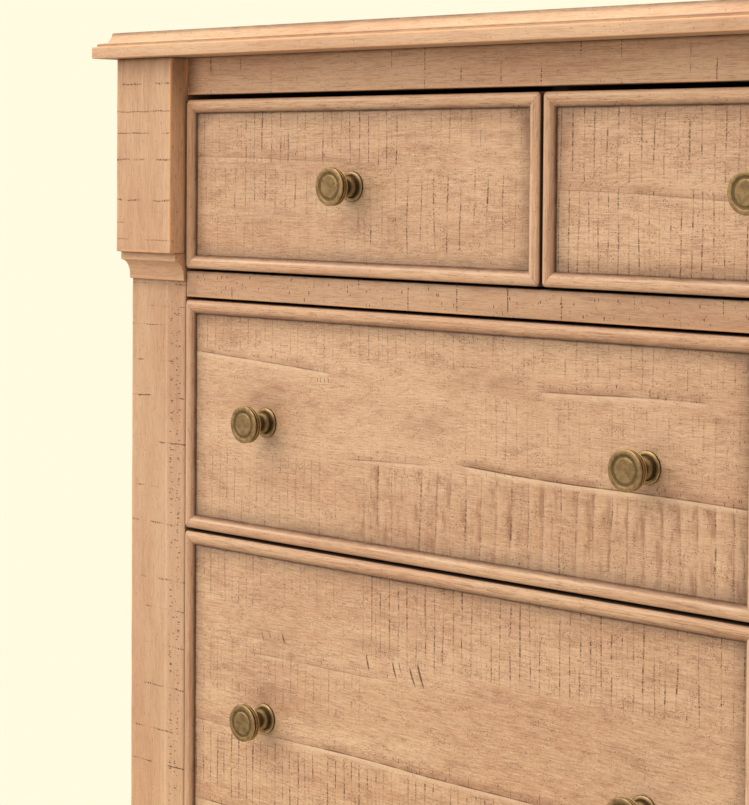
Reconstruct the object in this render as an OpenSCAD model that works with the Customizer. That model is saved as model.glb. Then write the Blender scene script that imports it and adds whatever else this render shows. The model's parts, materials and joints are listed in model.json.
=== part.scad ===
// A wide dresser in rough sawn, glazed wood: three small drawers over two rows of two wide drawers,
// between posts that carry a stepped capital under a moulded top. Millimetres, +Z up, front towards -Y,
// origin on the floor under the centre of the overall box.

/* [Case] */
// Clear width between the two front posts
opening_w = 1418; // [1250:1:1650]
// Depth of the case, from the front of the rails to the back
case_d = 442.5; // [430:0.5:560]
// Width of each post, seen from the front
post_w = 85; // [72:1:110]
// Thickness of a front post behind the face of the rails
post_d = 60; // [50:1:90]
// Thickness of a back post
back_post_d = 45; // [35:1:60]
// How far a front post stands proud of the rails
post_proud = 1; // [0.4:0.1:4]
// Thickness of the three front rails
rail_t = 22; // [21:0.5:28]
// Thickness of a side rail
side_rail_t = 22; // [20:0.5:30]
// Height of the upper side rail
side_upper_h = 78; // [50:1:120]
// Height of the lower side rail
side_lower_h = 84; // [50:1:120]
// Thickness of a side panel
side_panel_t = 10; // [6:0.5:12]
// Depth of a side panel below the face of its rails
side_panel_inset = 7; // [3:0.5:9]
// Thickness of the upright partitions between the drawers
partition_t = 18; // [15:0.5:24]
// Thickness of the dust panel and of the bottom board
shelf_t = 12; // [9:0.5:16]
// Thickness of the back panel
back_t = 6; // [4:0.5:10]
// Length of a tenon
tenon_l = 25; // [15:1:35]
// Room at the end of a tenon and around the edge of a side panel
end_room = 1; // [0.5:0.1:2]
// Thickness of a tenon
tenon_t = 10; // [6:0.5:12]

/* [Heights] */
// Height of the nail-on glides
glide_h = 6; // [3:0.5:15]
// Height of the top edge of the bottom rail above the floor
base_h = 90; // [75:1:130]
// Height of the bottom rail itself
bottom_rail_h = 66; // [45:1:68]
// Height of the drawer fronts in the bottom row
row_3_h = 348; // [240:1:400]
// Height of the drawer fronts in the middle row
row_2_h = 232.5; // [180:0.5:300]
// Height of the drawer fronts in the top row
row_1_h = 171; // [140:1:220]
// Height of the rail between the top and the middle row
mid_rail_h = 26.5; // [20:0.5:40]
// Height of the rail under the top
frieze_h = 38; // [30:1:60]

/* [Gaps around the drawer fronts] */
// Gap between a front and the post beside it
gap_side = 2; // [1:0.1:3]
// Gap between two neighbouring fronts
gap_between = 3; // [2:0.1:5]
// Gap between a front and a rail
gap_rail = 2.6; // [1.5:0.1:4]
// Gap above the fronts of the top row
gap_frieze = 5; // [2:0.1:7]

/* [Top] */
// Thickness of the top
top_t = 26.5; // [22:0.5:34]
// Overhang of the top beyond the posts at the sides and beyond the capitals in front
top_overhang = 18; // [16:0.5:32]
// Height of the square band along the lower edge of the top
band_h = 12; // [8:0.5:13]
// Width of the flat shoulder on top of the band
shoulder_w = 3.7; // [2:0.1:5]
// Height of the square step behind the shoulder
step_h = 2.8; // [1.5:0.1:4]
// Width of the sloped ledge behind the step
ledge_w = 7.5; // [4:0.1:9]
// Rise of the ledge towards the cove
ledge_rise = 1.6; // [0.5:0.1:2.5]
// Width of the cove above the ledge
cove_w = 3.7; // [2:0.1:6]
// Height of the small square fillet above the cove
top_fillet_h = 0.9; // [0.4:0.1:2]

/* [Capitals and plinths] */
// How far a capital or plinth block stands in front of the post
block_proud = 21.5; // [18:0.5:30]
// Height of a capital block
capital_h = 199; // [140:1:260]
// Height of the moulding under a capital and over a plinth
moulding_h = 28; // [26:0.5:40]
// How far the fillet of the moulding stands in front of the post
fillet_proud = 14.6; // [11:0.1:17]
// Height of that fillet
fillet_h = 8.2; // [5:0.1:10]
// How far the foot of the moulding stands in front of the post
foot_proud = 2.8; // [1:0.1:4]
// Height of the foot of the moulding
foot_h = 4.4; // [2:0.1:6]
// Height of the lower edge of a plinth block above the floor
plinth_z = 10; // [6:1:20]

/* [Drawers] */
// Thickness of a drawer front
front_t = 19; // [17:0.5:20]
// Depth of the panel of a front behind the face of the rails
front_inset = 0.5; // [0:0.1:1]
// Width of the bead around a front
bead_w = 13.5; // [9:0.5:18]
// Height of the bead above the panel
bead_h = 4.2; // [3:0.1:8]
// Distance of the crest of the bead from its outer edge
bead_crest = 5; // [3:0.1:7]
// Height of the outer edge of the bead
bead_edge = 1.8; // [1:0.1:2.8]
// Height of the inner foot of the bead
bead_foot = 0.9; // [0.3:0.1:2.5]
// Free depth between a drawer box and the back panel
back_room = 22; // [8:1:40]
// Thickness of the sides, front and back of a drawer box
box_t = 12; // [10:0.5:15]
// Thickness of a drawer bottom
bottom_t = 6; // [4:0.5:8]
// Depth of the groove that holds a drawer bottom
groove_d = 6; // [3:0.5:7]
// Height of a drawer bottom above the lower edge of its box
bottom_up = 10; // [6:1:16]
// Lower edge of a drawer box above the lower edge of its front
box_below = 20; // [16:1:30]
// Upper edge of a drawer box below the upper edge of its front
box_above = 26; // [18:1:40]
// Spacing that the dovetails aim for
tail_pitch = 36; // [26:1:50]
// Slope of a dovetail, as the narrowing on each side
tail_slope = 3; // [1:0.5:5]
// Share of the spacing that a tail takes at its wide end
tail_share = 0.68; // [0.5:0.01:0.8]
// Glue line between the pieces of one joint
glue_line = 0.05; // [0.02:0.01:0.1]

/* [Slides] */
// Room for a slide between a drawer box and what carries it
slide_t = 12.7; // [12:0.1:14]
// Height of the fixed channel of a slide
slide_h = 35; // [28:1:45]
// How much shorter a slide is than its drawer box
slide_short = 5; // [0:1:15]
// Thickness of the steel
steel_t = 1.2; // [0.8:0.1:2]
// Width of the flanges of both members
flange_w = 9; // [7:0.1:9.8]
// Running gap between the two members
slide_gap = 0.3; // [0.2:0.05:0.6]
// Height of the middle of a slide above the lower edge of its box
slide_up = 48; // [36:1:70]

/* [Knobs] */
// Diameter of the face of a knob
knob_d = 36.5; // [28:0.5:42]
// How far a knob stands in front of the panel
knob_l = 31.5; // [25:0.5:36]
// Thickness of the front disc of a knob
knob_disc_t = 2.2; // [1.6:0.1:3]
// Width of the groove behind the front disc
knob_groove_w = 1.2; // [0.6:0.1:1.6]
// Depth of that groove
knob_groove_d = 2.4; // [1:0.1:4]
// Thickness of the bead behind the groove
knob_bead_t = 4.4; // [2.5:0.1:5]
// Diameter of the centre disc in the face of a knob
knob_centre_d = 21.5; // [14:0.5:23]
// Outer diameter of the sunk ring around the centre disc
knob_ring_d = 27.6; // [25:0.1:28]
// Depth of the sunk ring
knob_ring_h = 0.8; // [0.4:0.1:1.4]
// Diameter of the base of a knob
knob_base_d = 29.5; // [24:0.1:34]
// Thickness of the base of a knob
knob_base_t = 2.8; // [2:0.1:3.4]
// Diameter of the neck of a knob
knob_neck_d = 12; // [10:0.5:14]
// Diameter of the collar between the base and the neck
knob_collar_d = 20.6; // [16:0.1:22]
// Height of the collar
knob_collar_h = 7; // [4:0.1:8]
// Diameter of the knob screw
screw_d = 4; // [3:0.5:5]
// Depth of the screw in the knob
screw_in = 14; // [10:1:18]
// Clearance around the screw in the wood, on the radius
screw_clear = 0.5; // [0.3:0.1:1]

/* [Small parts] */
// Diameter of a glide
glide_d = 30; // [20:1:40]
// Width of the square centre leg
leg_w = 45; // [35:1:60]
// Width and height of a glue block
glue_w = 30; // [20:1:32]
// Length of a glue block
glue_l = 70; // [40:1:90]

/* [Hidden] */
drawer_names = ["top_left", "top_centre", "top_right",
                "middle_left", "middle_right", "bottom_left", "bottom_right"];
drawer_parts = ["front", "beads", "box", "knobs", "slides"];
case_names = ["top", "front_post_left", "front_post_right", "back_post_left", "back_post_right",
              "capital_left", "capital_right", "plinth_left", "plinth_right",
              "side_panel_left", "side_panel_right", "side_rails_left", "side_rails_right",
              "frieze_rail", "mid_rail", "bottom_rail", "upper_partitions", "lower_partition",
              "dust_panel", "bottom_board", "back_panel", "slide_channels",
              "glides", "centre_leg", "glue_blocks"];

wood = [0.80, 0.61, 0.45];
inner_wood = [0.86, 0.74, 0.57];
board_wood = [0.70, 0.55, 0.40];
brass = [0.52, 0.44, 0.26];
steel = [0.74, 0.75, 0.76];
plastic = [0.30, 0.28, 0.26];

arc_steps = 8;
round_fn = 64;
// How far a cut runs past the faces it opens
cut_past = 1;
// Share of a rail's height that is cut away above and below its tenon
tenon_shoulder = 0.2;
// Share of a tenon's length that the side panel goes into its groove
groove_share = 1 / 3;
// Share of a back post's thickness that the rebate for the back panel takes
rebate_share = 1 / 4;
// Height and diameter of a screw head, as shares of the diameter of the screw
head_h_share = 0.7;
head_d_share = 2;
// Share of a glide's height that its bevelled rim takes
rim_share = 1 / 4;

// Outer half width of the case, and the face of the posts beside the drawers
half_opening = opening_w / 2;
half_case = half_opening + post_w;

// The front of the top, the face of the rails and the back, along Y
total_d = top_overhang + block_proud + post_proud + case_d;
y_top_front = -total_d / 2;
y_rail = y_top_front + top_overhang + block_proud + post_proud;
y_post = y_rail - post_proud;
y_post_back = y_rail + post_d;
y_back = total_d / 2;
y_back_post = y_back - back_post_d;
y_behind_rail = y_rail + rail_t;
y_back_panel = y_back - back_t;

// Heights, from the floor up
z_post = glide_h;
z_bottom_rail = base_h - bottom_rail_h;
z_row_3 = base_h + gap_rail;
z_row_2 = z_row_3 + row_3_h + gap_between;
z_mid_rail = z_row_2 + row_2_h + gap_rail;
z_row_1 = z_mid_rail + mid_rail_h + gap_rail;
z_frieze = z_row_1 + row_1_h + gap_frieze;
z_top = z_frieze + frieze_h;
z_dust = z_mid_rail + (mid_rail_h - shelf_t) / 2;
z_bottom_board = base_h - 2 * shelf_t;
z_capital = z_top - capital_h;

// Drawer fronts
small_w = (opening_w - 2 * gap_side - 2 * gap_between) / 3;
wide_w = (opening_w - 2 * gap_side - gap_between) / 2;
y_panel = y_rail + front_inset;
y_box = y_panel + front_t;
box_l = y_back_panel - back_room - y_box;
slide_l = box_l - slide_short;
y_slide = y_box + slide_short;

// Each drawer: its column, the columns in its row, its row
function row_of(i) = i < 3 ? 1 : i < 5 ? 2 : 3;
function columns_of(i) = i < 3 ? 3 : 2;
function column_of(i) = i < 3 ? i : (i - 3) % 2;
function front_w(i) = columns_of(i) == 3 ? small_w : wide_w;
function front_h(i) = [row_1_h, row_2_h, row_3_h][row_of(i) - 1];
function front_z(i) = [z_row_1, z_row_2, z_row_3][row_of(i) - 1];
function front_x(i) = -half_opening + gap_side + column_of(i) * (front_w(i) + gap_between);

// What carries the slides on the two sides of a drawer: a post, or the face of a partition
function left_carrier(i) = column_of(i) == 0 ? -half_opening
    : front_x(i) - gap_between / 2 + partition_t / 2;
function right_carrier(i) = column_of(i) == columns_of(i) - 1 ? half_opening
    : front_x(i) + front_w(i) + gap_between / 2 - partition_t / 2;
function box_x0(i) = left_carrier(i) + slide_t;
function box_x1(i) = right_carrier(i) - slide_t;
function box_z0(i) = front_z(i) + box_below;
function box_h(i) = front_h(i) - box_below - box_above;
function slide_z(i) = box_z0(i) + slide_up;

// One knob in the middle of a small front, two on a wide one, each at a sixth of its width from the end
function knob_xs(i) = columns_of(i) == 3 ? [front_x(i) + front_w(i) / 2]
    : [front_x(i) + front_w(i) / 6, front_x(i) + front_w(i) * 5 / 6];
function knob_z(i) = front_z(i) + front_h(i) / 2;

// Points along a quarter or other arc of an ellipse
function arc(c, rx, ry, from, to) = [for (s = [0 : arc_steps])
    let (a = from + (to - from) * s / arc_steps) [c[0] + rx * cos(a), c[1] + ry * sin(a)]];

// A board between two corners given as ranges along X, Y and Z
module board(x, y, z) {
    translate([x[0], y[0], z[0]]) cube([x[1] - x[0], y[1] - y[0], z[1] - z[0]]);
}

// A board or group of boards on the left, or its mirror image on the right
module on_side(side) {
    if (side < 0) children();
    else mirror([1, 0, 0]) children();
}

// An outline in Y and Z drawn out along X
module along_x(x) {
    translate([x[0], 0, 0]) rotate([90, 0, 90]) linear_extrude(x[1] - x[0]) children();
}

// An outline in X and Z drawn out along Y
module along_y(y) {
    translate([0, y[1], 0]) rotate([90, 0, 0]) linear_extrude(y[1] - y[0]) children();
}

// Edge of the top, as distance in from the edge and height above its underside
step_top = band_h + step_h;
ledge_end = [shoulder_w + ledge_w, step_top + ledge_rise];
cove_h = top_t - top_fillet_h - ledge_end[1];
// The cove is shallow: it is the part of an ellipse between these two angles
cove_from = -65;
cove_to = -25;
cove_rx = cove_w / (cos(cove_to) - cos(cove_from));
cove_rz = cove_h / (sin(cove_to) - sin(cove_from));
cove_centre = [ledge_end[0] - cove_rx * cos(cove_from), ledge_end[1] - cove_rz * sin(cove_from)];
function top_edge() = concat(
    [[0, 0], [0, band_h], [shoulder_w, band_h], [shoulder_w, step_top]],
    arc(cove_centre, cove_rx, cove_rz, cove_from, cove_to),
    [[ledge_end[0] + cove_w, top_t]]);

// The top: its moulding runs along the front and both ends, mitred where they meet
module top() {
    half_top = half_case + top_overhang;
    edge = top_edge();
    last = len(edge) - 1;
    left = [for (p = edge) [p[0] - half_top, p[1]]];
    right = [for (s = [last : -1 : 0]) [half_top - edge[s][0], edge[s][1]]];
    color(wood) translate([0, 0, z_top]) intersection() {
        along_x([-half_top, half_top]) polygon(concat([for (p = edge) [y_top_front + p[0], p[1]]],
            [[y_back, top_t], [y_back, 0]]));
        along_y([y_top_front, y_back]) polygon(concat(left, right));
    }
}

// Tenons along X at the end of a front rail, on the left side
module front_tenon(z, h, extra) {
    y = y_rail + (rail_t - tenon_t) / 2;
    shoulder = h * tenon_shoulder;
    board([-half_opening - tenon_l - extra, -half_opening], [y, y + tenon_t], [z + shoulder, z + h - shoulder]);
}

module front_tenons(extra) {
    front_tenon(z_frieze, frieze_h, extra);
    front_tenon(z_mid_rail, mid_rail_h, extra);
    front_tenon(z_bottom_rail, bottom_rail_h, extra);
}

// Side frame on the left: where its rails lie along X and Z, and the tenons at both of their ends
side_x = [-half_case, -half_case + side_rail_t];
z_side_upper = z_top - side_upper_h;
z_side_lower = base_h - side_lower_h + shelf_t;
panel_x = [-half_case + side_panel_inset, -half_case + side_panel_inset + side_panel_t];
panel_in = tenon_l * groove_share;

module side_rail_body(z, h, extra) {
    tenon_x = -half_case + (side_rail_t - tenon_t) / 2;
    shoulder = h * tenon_shoulder;
    board(side_x, [y_post_back, y_back_post], [z, z + h]);
    board([tenon_x, tenon_x + tenon_t], [y_post_back - tenon_l - extra, y_back_post + tenon_l + extra],
        [z + shoulder, z + h - shoulder]);
}

module side_panel_body(extra) {
    board(panel_x, [y_post_back - panel_in - extra, y_back_post + panel_in + extra],
        [z_side_lower + side_lower_h - panel_in - extra, z_side_upper + panel_in + extra]);
}

module front_post(side) {
    color(wood) on_side(side) difference() {
        board([-half_case, -half_opening], [y_post, y_post_back], [z_post, z_top]);
        front_tenons(end_room);
        side_rail_body(z_side_upper, side_upper_h, end_room);
        side_rail_body(z_side_lower, side_lower_h, end_room);
        side_panel_body(end_room);
    }
}

// The back panel lies in a rebate in each back post
rebate = back_post_d * rebate_share;

module back_panel_body() {
    board([-half_opening - rebate, half_opening + rebate], [y_back_panel, y_back], [z_bottom_board, z_top]);
}

module back_post(side) {
    color(wood) on_side(side) difference() {
        board([-half_case, -half_opening], [y_back_post, y_back], [z_post, z_top]);
        side_rail_body(z_side_upper, side_upper_h, end_room);
        side_rail_body(z_side_lower, side_lower_h, end_room);
        side_panel_body(end_room);
        back_panel_body();
    }
}

module side_rails(side) {
    color(wood) on_side(side) difference() {
        union() {
            side_rail_body(z_side_upper, side_upper_h, 0);
            side_rail_body(z_side_lower, side_lower_h, 0);
        }
        side_panel_body(end_room);
    }
}

module side_panel(side) {
    color(wood) on_side(side) side_panel_body(0);
}

// Outline of the moulding against a post, hanging down from z = 0: fillet, cove and foot
module moulding_outline() {
    cove = [fillet_proud - foot_proud, moulding_h - fillet_h - foot_h];
    start = -fillet_h;
    polygon(concat([[0, 0], [-fillet_proud, 0], [-fillet_proud, start]],
        arc([-fillet_proud, start - cove[1]], cove[0], cove[1], 75, 0),
        [[-foot_proud, -moulding_h], [0, -moulding_h]]));
}

module capital(side) {
    x = [-half_case, -half_opening];
    color(wood) on_side(side) {
        board(x, [y_post - block_proud, y_post], [z_capital, z_top]);
        translate([0, y_post, z_capital - glue_line]) along_x(x) moulding_outline();
    }
}

module plinth(side) {
    x = [-half_case, -half_opening];
    color(wood) on_side(side) {
        board(x, [y_post - block_proud, y_post], [plinth_z, base_h]);
        translate([0, y_post, base_h + glue_line]) mirror([0, 0, 1]) along_x(x) moulding_outline();
    }
}

// A rail between the front posts, with its two tenons
module front_rail(z, h) {
    board([-half_opening, half_opening], [y_rail, y_behind_rail], [z, z + h]);
    for (side = [-1, 1]) on_side(side) front_tenon(z, h, 0);
}

module frieze_rail() {
    color(wood) front_rail(z_frieze, frieze_h);
}

module mid_rail() {
    color(wood) front_rail(z_mid_rail, mid_rail_h);
}

module bottom_rail() {
    color(wood) front_rail(z_bottom_rail, bottom_rail_h);
}

module partition(x, z) {
    board([x - partition_t / 2, x + partition_t / 2], [y_behind_rail, y_back_panel], z);
}

module upper_partitions() {
    color(board_wood) for (i = [1, 2]) partition(front_x(i) - gap_between / 2, [z_dust + shelf_t, z_top]);
}

module lower_partition() {
    color(board_wood) partition(front_x(4) - gap_between / 2, [z_bottom_board + shelf_t, z_dust]);
}

// A board from the back of its rail to the back panel, notched round the posts
module shelf(z) {
    inner_x = half_case - side_rail_t;
    board([-half_opening, half_opening], [y_behind_rail, y_back_panel], [z, z + shelf_t]);
    board([-inner_x, inner_x], [y_post_back, y_back_post], [z, z + shelf_t]);
}

module dust_panel() {
    color(board_wood) shelf(z_dust);
}

module bottom_board() {
    color(board_wood) shelf(z_bottom_board);
}

module back_panel() {
    color(board_wood) back_panel_body();
}

// A steel channel that opens along +X, with its back at x = 0
module channel(h) {
    difference() {
        board([0, steel_t + flange_w], [y_slide, y_slide + slide_l], [-h / 2, h / 2]);
        board([steel_t, steel_t + flange_w + cut_past], [y_slide - cut_past, y_slide + slide_l + cut_past],
            [-h / 2 + steel_t, h / 2 - steel_t]);
    }
}

// The fixed channels, one on each side of each drawer
module slide_channels() {
    color(steel) for (i = [0 : len(drawer_names) - 1]) {
        translate([left_carrier(i), 0, slide_z(i)]) channel(slide_h);
        translate([right_carrier(i), 0, slide_z(i)]) mirror([1, 0, 0]) channel(slide_h);
    }
}

// The middle of the bottom board, where the centre leg stands
y_leg = (y_behind_rail + y_back_panel) / 2;

module glide(x, y) {
    edge = glide_h * rim_share;
    translate([x, y, 0]) cylinder(h = edge, d1 = glide_d - 2 * edge, d2 = glide_d, $fn = round_fn);
    translate([x, y, edge]) cylinder(h = glide_h - edge, d = glide_d, $fn = round_fn);
}

module glides() {
    x = half_opening + post_w / 2;
    color(plastic) {
        for (side = [-1, 1]) {
            glide(side * x, (y_post + y_post_back) / 2);
            glide(side * x, (y_back_post + y_back) / 2);
        }
        glide(0, y_leg);
    }
}

module centre_leg() {
    color(inner_wood) board([-leg_w / 2, leg_w / 2], [y_leg - leg_w / 2, y_leg + leg_w / 2],
        [glide_h, z_bottom_board]);
}

// Glue blocks in the angle under the top, behind the frieze and along the upper side rails
module glue_blocks() {
    z = [z_top - glue_w, z_top];
    inner_x = half_case - side_rail_t;
    middle = (y_post_back + y_back_post) / 2;
    color(inner_wood) {
        for (i = [0 : 2]) for (end = [-1, 1]) {
            x = front_x(i) + small_w / 2 + end * small_w / 4;
            board([x - glue_l / 2, x + glue_l / 2], [y_behind_rail, y_behind_rail + glue_w], z);
        }
        for (side = [-1, 1]) on_side(side) for (end = [-1, 1]) {
            y = middle + end * (y_back_post - y_post_back) / 4;
            board([-inner_x, -inner_x + glue_w], [y - glue_l / 2, y + glue_l / 2], z);
        }
    }
}

// A drawer front: a plain panel, drilled for the knob screws
module drawer_front(i) {
    color(wood) difference() {
        board([front_x(i), front_x(i) + front_w(i)], [y_panel, y_box], [front_z(i), front_z(i) + front_h(i)]);
        screw_holes(i);
    }
}

module screw_holes(i) {
    for (x = knob_xs(i)) translate([x, y_panel - cut_past, knob_z(i)]) rotate([-90, 0, 0])
        cylinder(h = front_t + box_t + 2 * cut_past, d = screw_d + 2 * screw_clear, $fn = round_fn);
}

// Section of the bead, as distance in from the edge of the front and height above the panel
module bead_outline() {
    inner = bead_w - bead_crest;
    polygon(concat([[0, 0]],
        arc([bead_crest, bead_edge], bead_crest, bead_h - bead_edge, 180, 90),
        arc([bead_crest, bead_foot], inner, bead_h - bead_foot, 90, 0),
        [[bead_w, 0]]));
}

// A bead along X of a given length, standing on the panel, cut at 45 degrees at both ends
module mitred_bead(l) {
    a = glue_line;
    b = bead_w + glue_line;
    intersection() {
        along_x([0, l]) rotate(90) bead_outline();
        along_y([-bead_h, 0]) polygon([[a, 0], [l - a, 0], [l - b, bead_w], [b, bead_w]]);
    }
}

module drawer_beads(i) {
    w = front_w(i);
    h = front_h(i);
    color(wood) translate([front_x(i), y_panel, front_z(i)]) {
        mitred_bead(w);
        translate([0, 0, h]) mirror([0, 0, 1]) mitred_bead(w);
        rotate([0, -90, 0]) mirror([0, 0, 1]) mitred_bead(h);
        translate([w, 0, 0]) rotate([0, -90, 0]) mitred_bead(h);
    }
}

// Number of tails at each corner of a box, and their spacing
function tails(i) = max(2, round(box_h(i) / tail_pitch));
function tail_step(i) = box_h(i) / tails(i);

// The tails of one end of a side, seen from the side: wide at the end of the board, at y = 0
module tail_row(i, extra) {
    step = tail_step(i);
    wide = step * tail_share / 2 + extra;
    for (t = [0 : tails(i) - 1]) translate([0, (t + 0.5) * step])
        polygon([[0, -wide], [box_t, -wide + tail_slope], [box_t, wide - tail_slope], [0, wide]]);
}

// All the tails of a box, drawn out through both of its sides
module box_tails(i, extra) {
    for (x = [box_x0(i) - extra, box_x1(i) - box_t - extra]) translate([0, 0, box_z0(i)]) {
        translate([0, y_box, 0]) along_x([x, x + box_t + 2 * extra]) tail_row(i, extra);
        translate([0, y_box + box_l, 0]) mirror([0, 1, 0]) along_x([x, x + box_t + 2 * extra]) tail_row(i, extra);
    }
}

module drawer_bottom(i, extra) {
    inset = box_t - groove_d - extra;
    z = box_z0(i) + bottom_up;
    board([box_x0(i) + inset, box_x1(i) - inset], [y_box + inset, y_box + box_l - inset],
        [z - extra, z + bottom_t + extra]);
}

// A drawer box: two sides with tails, a front and a back with the pins, and a grooved-in bottom
module drawer_box(i) {
    z = [box_z0(i), box_z0(i) + box_h(i)];
    y_end = y_box + box_l;
    color(inner_wood) {
        difference() {
            union() {
                for (x = [box_x0(i), box_x1(i) - box_t]) board([x, x + box_t], [y_box + box_t, y_end - box_t], z);
                box_tails(i, 0);
            }
            drawer_bottom(i, glue_line);
        }
        difference() {
            union() {
                board([box_x0(i), box_x1(i)], [y_box, y_box + box_t - glue_line], z);
                board([box_x0(i), box_x1(i)], [y_end - box_t + glue_line, y_end], z);
            }
            box_tails(i, glue_line);
            drawer_bottom(i, glue_line);
            screw_holes(i);
        }
        drawer_bottom(i, 0);
    }
}

// Radius of the small roundings of a knob, and clearance around the thread of its screw
knob_round = 0.8;
thread_clear = 0.05;

// Half section of a knob, as radius and distance from the panel, from the base out to the face
function knob_section() =
    let (r = knob_d / 2, base = knob_base_d / 2, neck = knob_neck_d / 2, collar = knob_collar_d / 2,
         disc = knob_l - knob_disc_t, bead = disc - knob_groove_w - knob_bead_t / 2,
         ring = knob_l - knob_round / 2 - knob_ring_h, collar_mid = knob_base_t + knob_collar_h / 2)
    concat(
        [[0, 0], [base, 0], [base, knob_base_t - knob_round], [base - knob_round, knob_base_t],
         [collar + knob_round, knob_base_t - knob_round]],
        arc([neck, collar_mid], collar - neck, knob_collar_h / 2, -60, 90),
        [[neck, bead - knob_bead_t], [r - knob_groove_d, bead - knob_bead_t / 2]],
        arc([r - knob_groove_d / 2, bead], knob_groove_d / 2, knob_bead_t / 2, -90, 90),
        [[r - knob_groove_d, bead + knob_bead_t / 2], [r - knob_groove_d, disc]],
        arc([r - knob_groove_d, knob_l - knob_disc_t / 2], knob_groove_d, knob_disc_t / 2, -80, 90),
        [[knob_ring_d / 2, ring], [knob_centre_d / 2 + knob_round / 2, ring],
         [knob_centre_d / 2, knob_l - knob_round], [0, knob_l - knob_round / 2]]);

// A knob and its screw, standing on the plane y = 0 and pointing towards -Y
module knob() {
    rotate([90, 0, 0]) rotate_extrude($fn = round_fn) difference() {
        polygon(knob_section());
        square([screw_d / 2 + thread_clear, screw_in]);
    }
}

// The screw stops short of the end of its hole, and its head bears on the inside of the box front
module knob_screw() {
    seat = front_t + box_t - glue_line;
    rotate([-90, 0, 0]) {
        translate([0, 0, end_room - screw_in])
            cylinder(h = seat + screw_in - end_room, d = screw_d, $fn = round_fn);
        translate([0, 0, seat]) cylinder(h = screw_d * head_h_share, d = screw_d * head_d_share, $fn = round_fn);
    }
}

module drawer_knobs(i) {
    for (x = knob_xs(i)) translate([x, y_panel, knob_z(i)]) {
        color(brass) knob();
        color(steel) knob_screw();
    }
}

// The moving members, fixed to the sides of the box and running inside the fixed channels
module drawer_slides(i) {
    h = slide_h - 2 * steel_t - 2 * slide_gap;
    color(steel) {
        translate([box_x0(i), 0, slide_z(i)]) mirror([1, 0, 0]) channel(h);
        translate([box_x1(i), 0, slide_z(i)]) channel(h);
    }
}

top();
front_post(-1);  // front_post_left
front_post(1);  // front_post_right
back_post(-1);  // back_post_left
back_post(1);  // back_post_right
capital(-1);  // capital_left
capital(1);  // capital_right
plinth(-1);  // plinth_left
plinth(1);  // plinth_right
side_panel(-1);  // side_panel_left
side_panel(1);  // side_panel_right
side_rails(-1);  // side_rails_left
side_rails(1);  // side_rails_right
frieze_rail();
mid_rail();
bottom_rail();
upper_partitions();
lower_partition();
dust_panel();
bottom_board();
back_panel();
slide_channels();
glides();
centre_leg();
glue_blocks();
for (i = [0 : len(drawer_names) - 1]) {
    drawer_front(i);
    drawer_beads(i);
    drawer_box(i);
    drawer_knobs(i);
    drawer_slides(i);
}
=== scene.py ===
import json
import math
import random

import bmesh
import bpy
from mathutils import Matrix, Vector, noise

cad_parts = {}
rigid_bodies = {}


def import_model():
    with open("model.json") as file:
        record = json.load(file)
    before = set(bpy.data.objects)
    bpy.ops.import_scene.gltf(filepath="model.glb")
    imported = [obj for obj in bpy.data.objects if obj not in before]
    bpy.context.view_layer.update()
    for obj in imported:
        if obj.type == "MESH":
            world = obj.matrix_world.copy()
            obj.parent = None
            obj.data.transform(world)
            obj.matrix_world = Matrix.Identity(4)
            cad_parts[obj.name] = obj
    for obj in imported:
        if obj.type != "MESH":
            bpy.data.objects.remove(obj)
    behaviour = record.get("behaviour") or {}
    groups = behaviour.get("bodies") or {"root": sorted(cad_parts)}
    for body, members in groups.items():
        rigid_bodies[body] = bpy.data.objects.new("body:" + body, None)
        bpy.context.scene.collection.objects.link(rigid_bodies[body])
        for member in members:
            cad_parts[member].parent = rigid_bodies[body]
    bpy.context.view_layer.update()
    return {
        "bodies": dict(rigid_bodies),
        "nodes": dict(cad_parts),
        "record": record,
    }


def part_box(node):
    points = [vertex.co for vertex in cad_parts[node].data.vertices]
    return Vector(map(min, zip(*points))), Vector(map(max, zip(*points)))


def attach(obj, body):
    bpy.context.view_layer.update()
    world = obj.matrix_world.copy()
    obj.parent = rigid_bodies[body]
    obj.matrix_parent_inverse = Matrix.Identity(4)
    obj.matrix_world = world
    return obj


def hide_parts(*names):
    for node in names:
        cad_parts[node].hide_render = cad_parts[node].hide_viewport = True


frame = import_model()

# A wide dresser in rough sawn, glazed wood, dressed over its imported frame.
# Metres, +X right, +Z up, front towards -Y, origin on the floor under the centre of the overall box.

MM = 0.001


def smooth(value, low, high):
    """0 below low, 1 above high, and a soft rise between."""
    t = min(1.0, max(0.0, (value - low) / (high - low)))
    return t * t * (3.0 - 2.0 * t)


def fall(distance, reach):
    """1 at no distance, 0 at reach and beyond."""
    return min(1.0, max(0.0, 1.0 - distance / reach))


def corners(box):
    """The low and the high corner of a box as vectors."""
    return [Vector(corner) for corner in box]


def add_object(name, data):
    """A new object in the scene."""
    made = bpy.data.objects.new(name, data)
    bpy.context.scene.collection.objects.link(made)
    return made


# Pieces: points, faces and marks, which become named attributes that the materials read

# wear: rubbed arris, on the knobs also a painted highlight on raised rings; glaze: dark glaze in crevices,
# and painted shade under and between parts and in the gaps; stain: browner all over, in places painted shade;
# streak: dark lines along the grain; speck: dark specks; seam: height above the nearest scraped ridge;
# ridge: its strength; beat: running number of the saw marks across the grain; pitch: their spacing in metres;
# saw: their strength; bold: how coarse they are; cut: strength of long sharp cracks in their place; row: 1
# where such a crack is a row of dots from edge to edge; tick: short dashes; crack: filled; pale: bare bright
# wood, and a painted highlight along the crest of a bead
MARKS = {"wear": 0.0, "glaze": 0.0, "stain": 0.0, "streak": 0.35, "speck": 0.25, "seam": 0.05, "ridge": 0.0,
         "beat": 0.0, "pitch": 0.012, "saw": 0.0, "bold": 0.0, "cut": 0.0, "row": 0.0, "tick": 0.0,
         "crack": 0.0, "pale": 0.0}

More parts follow.
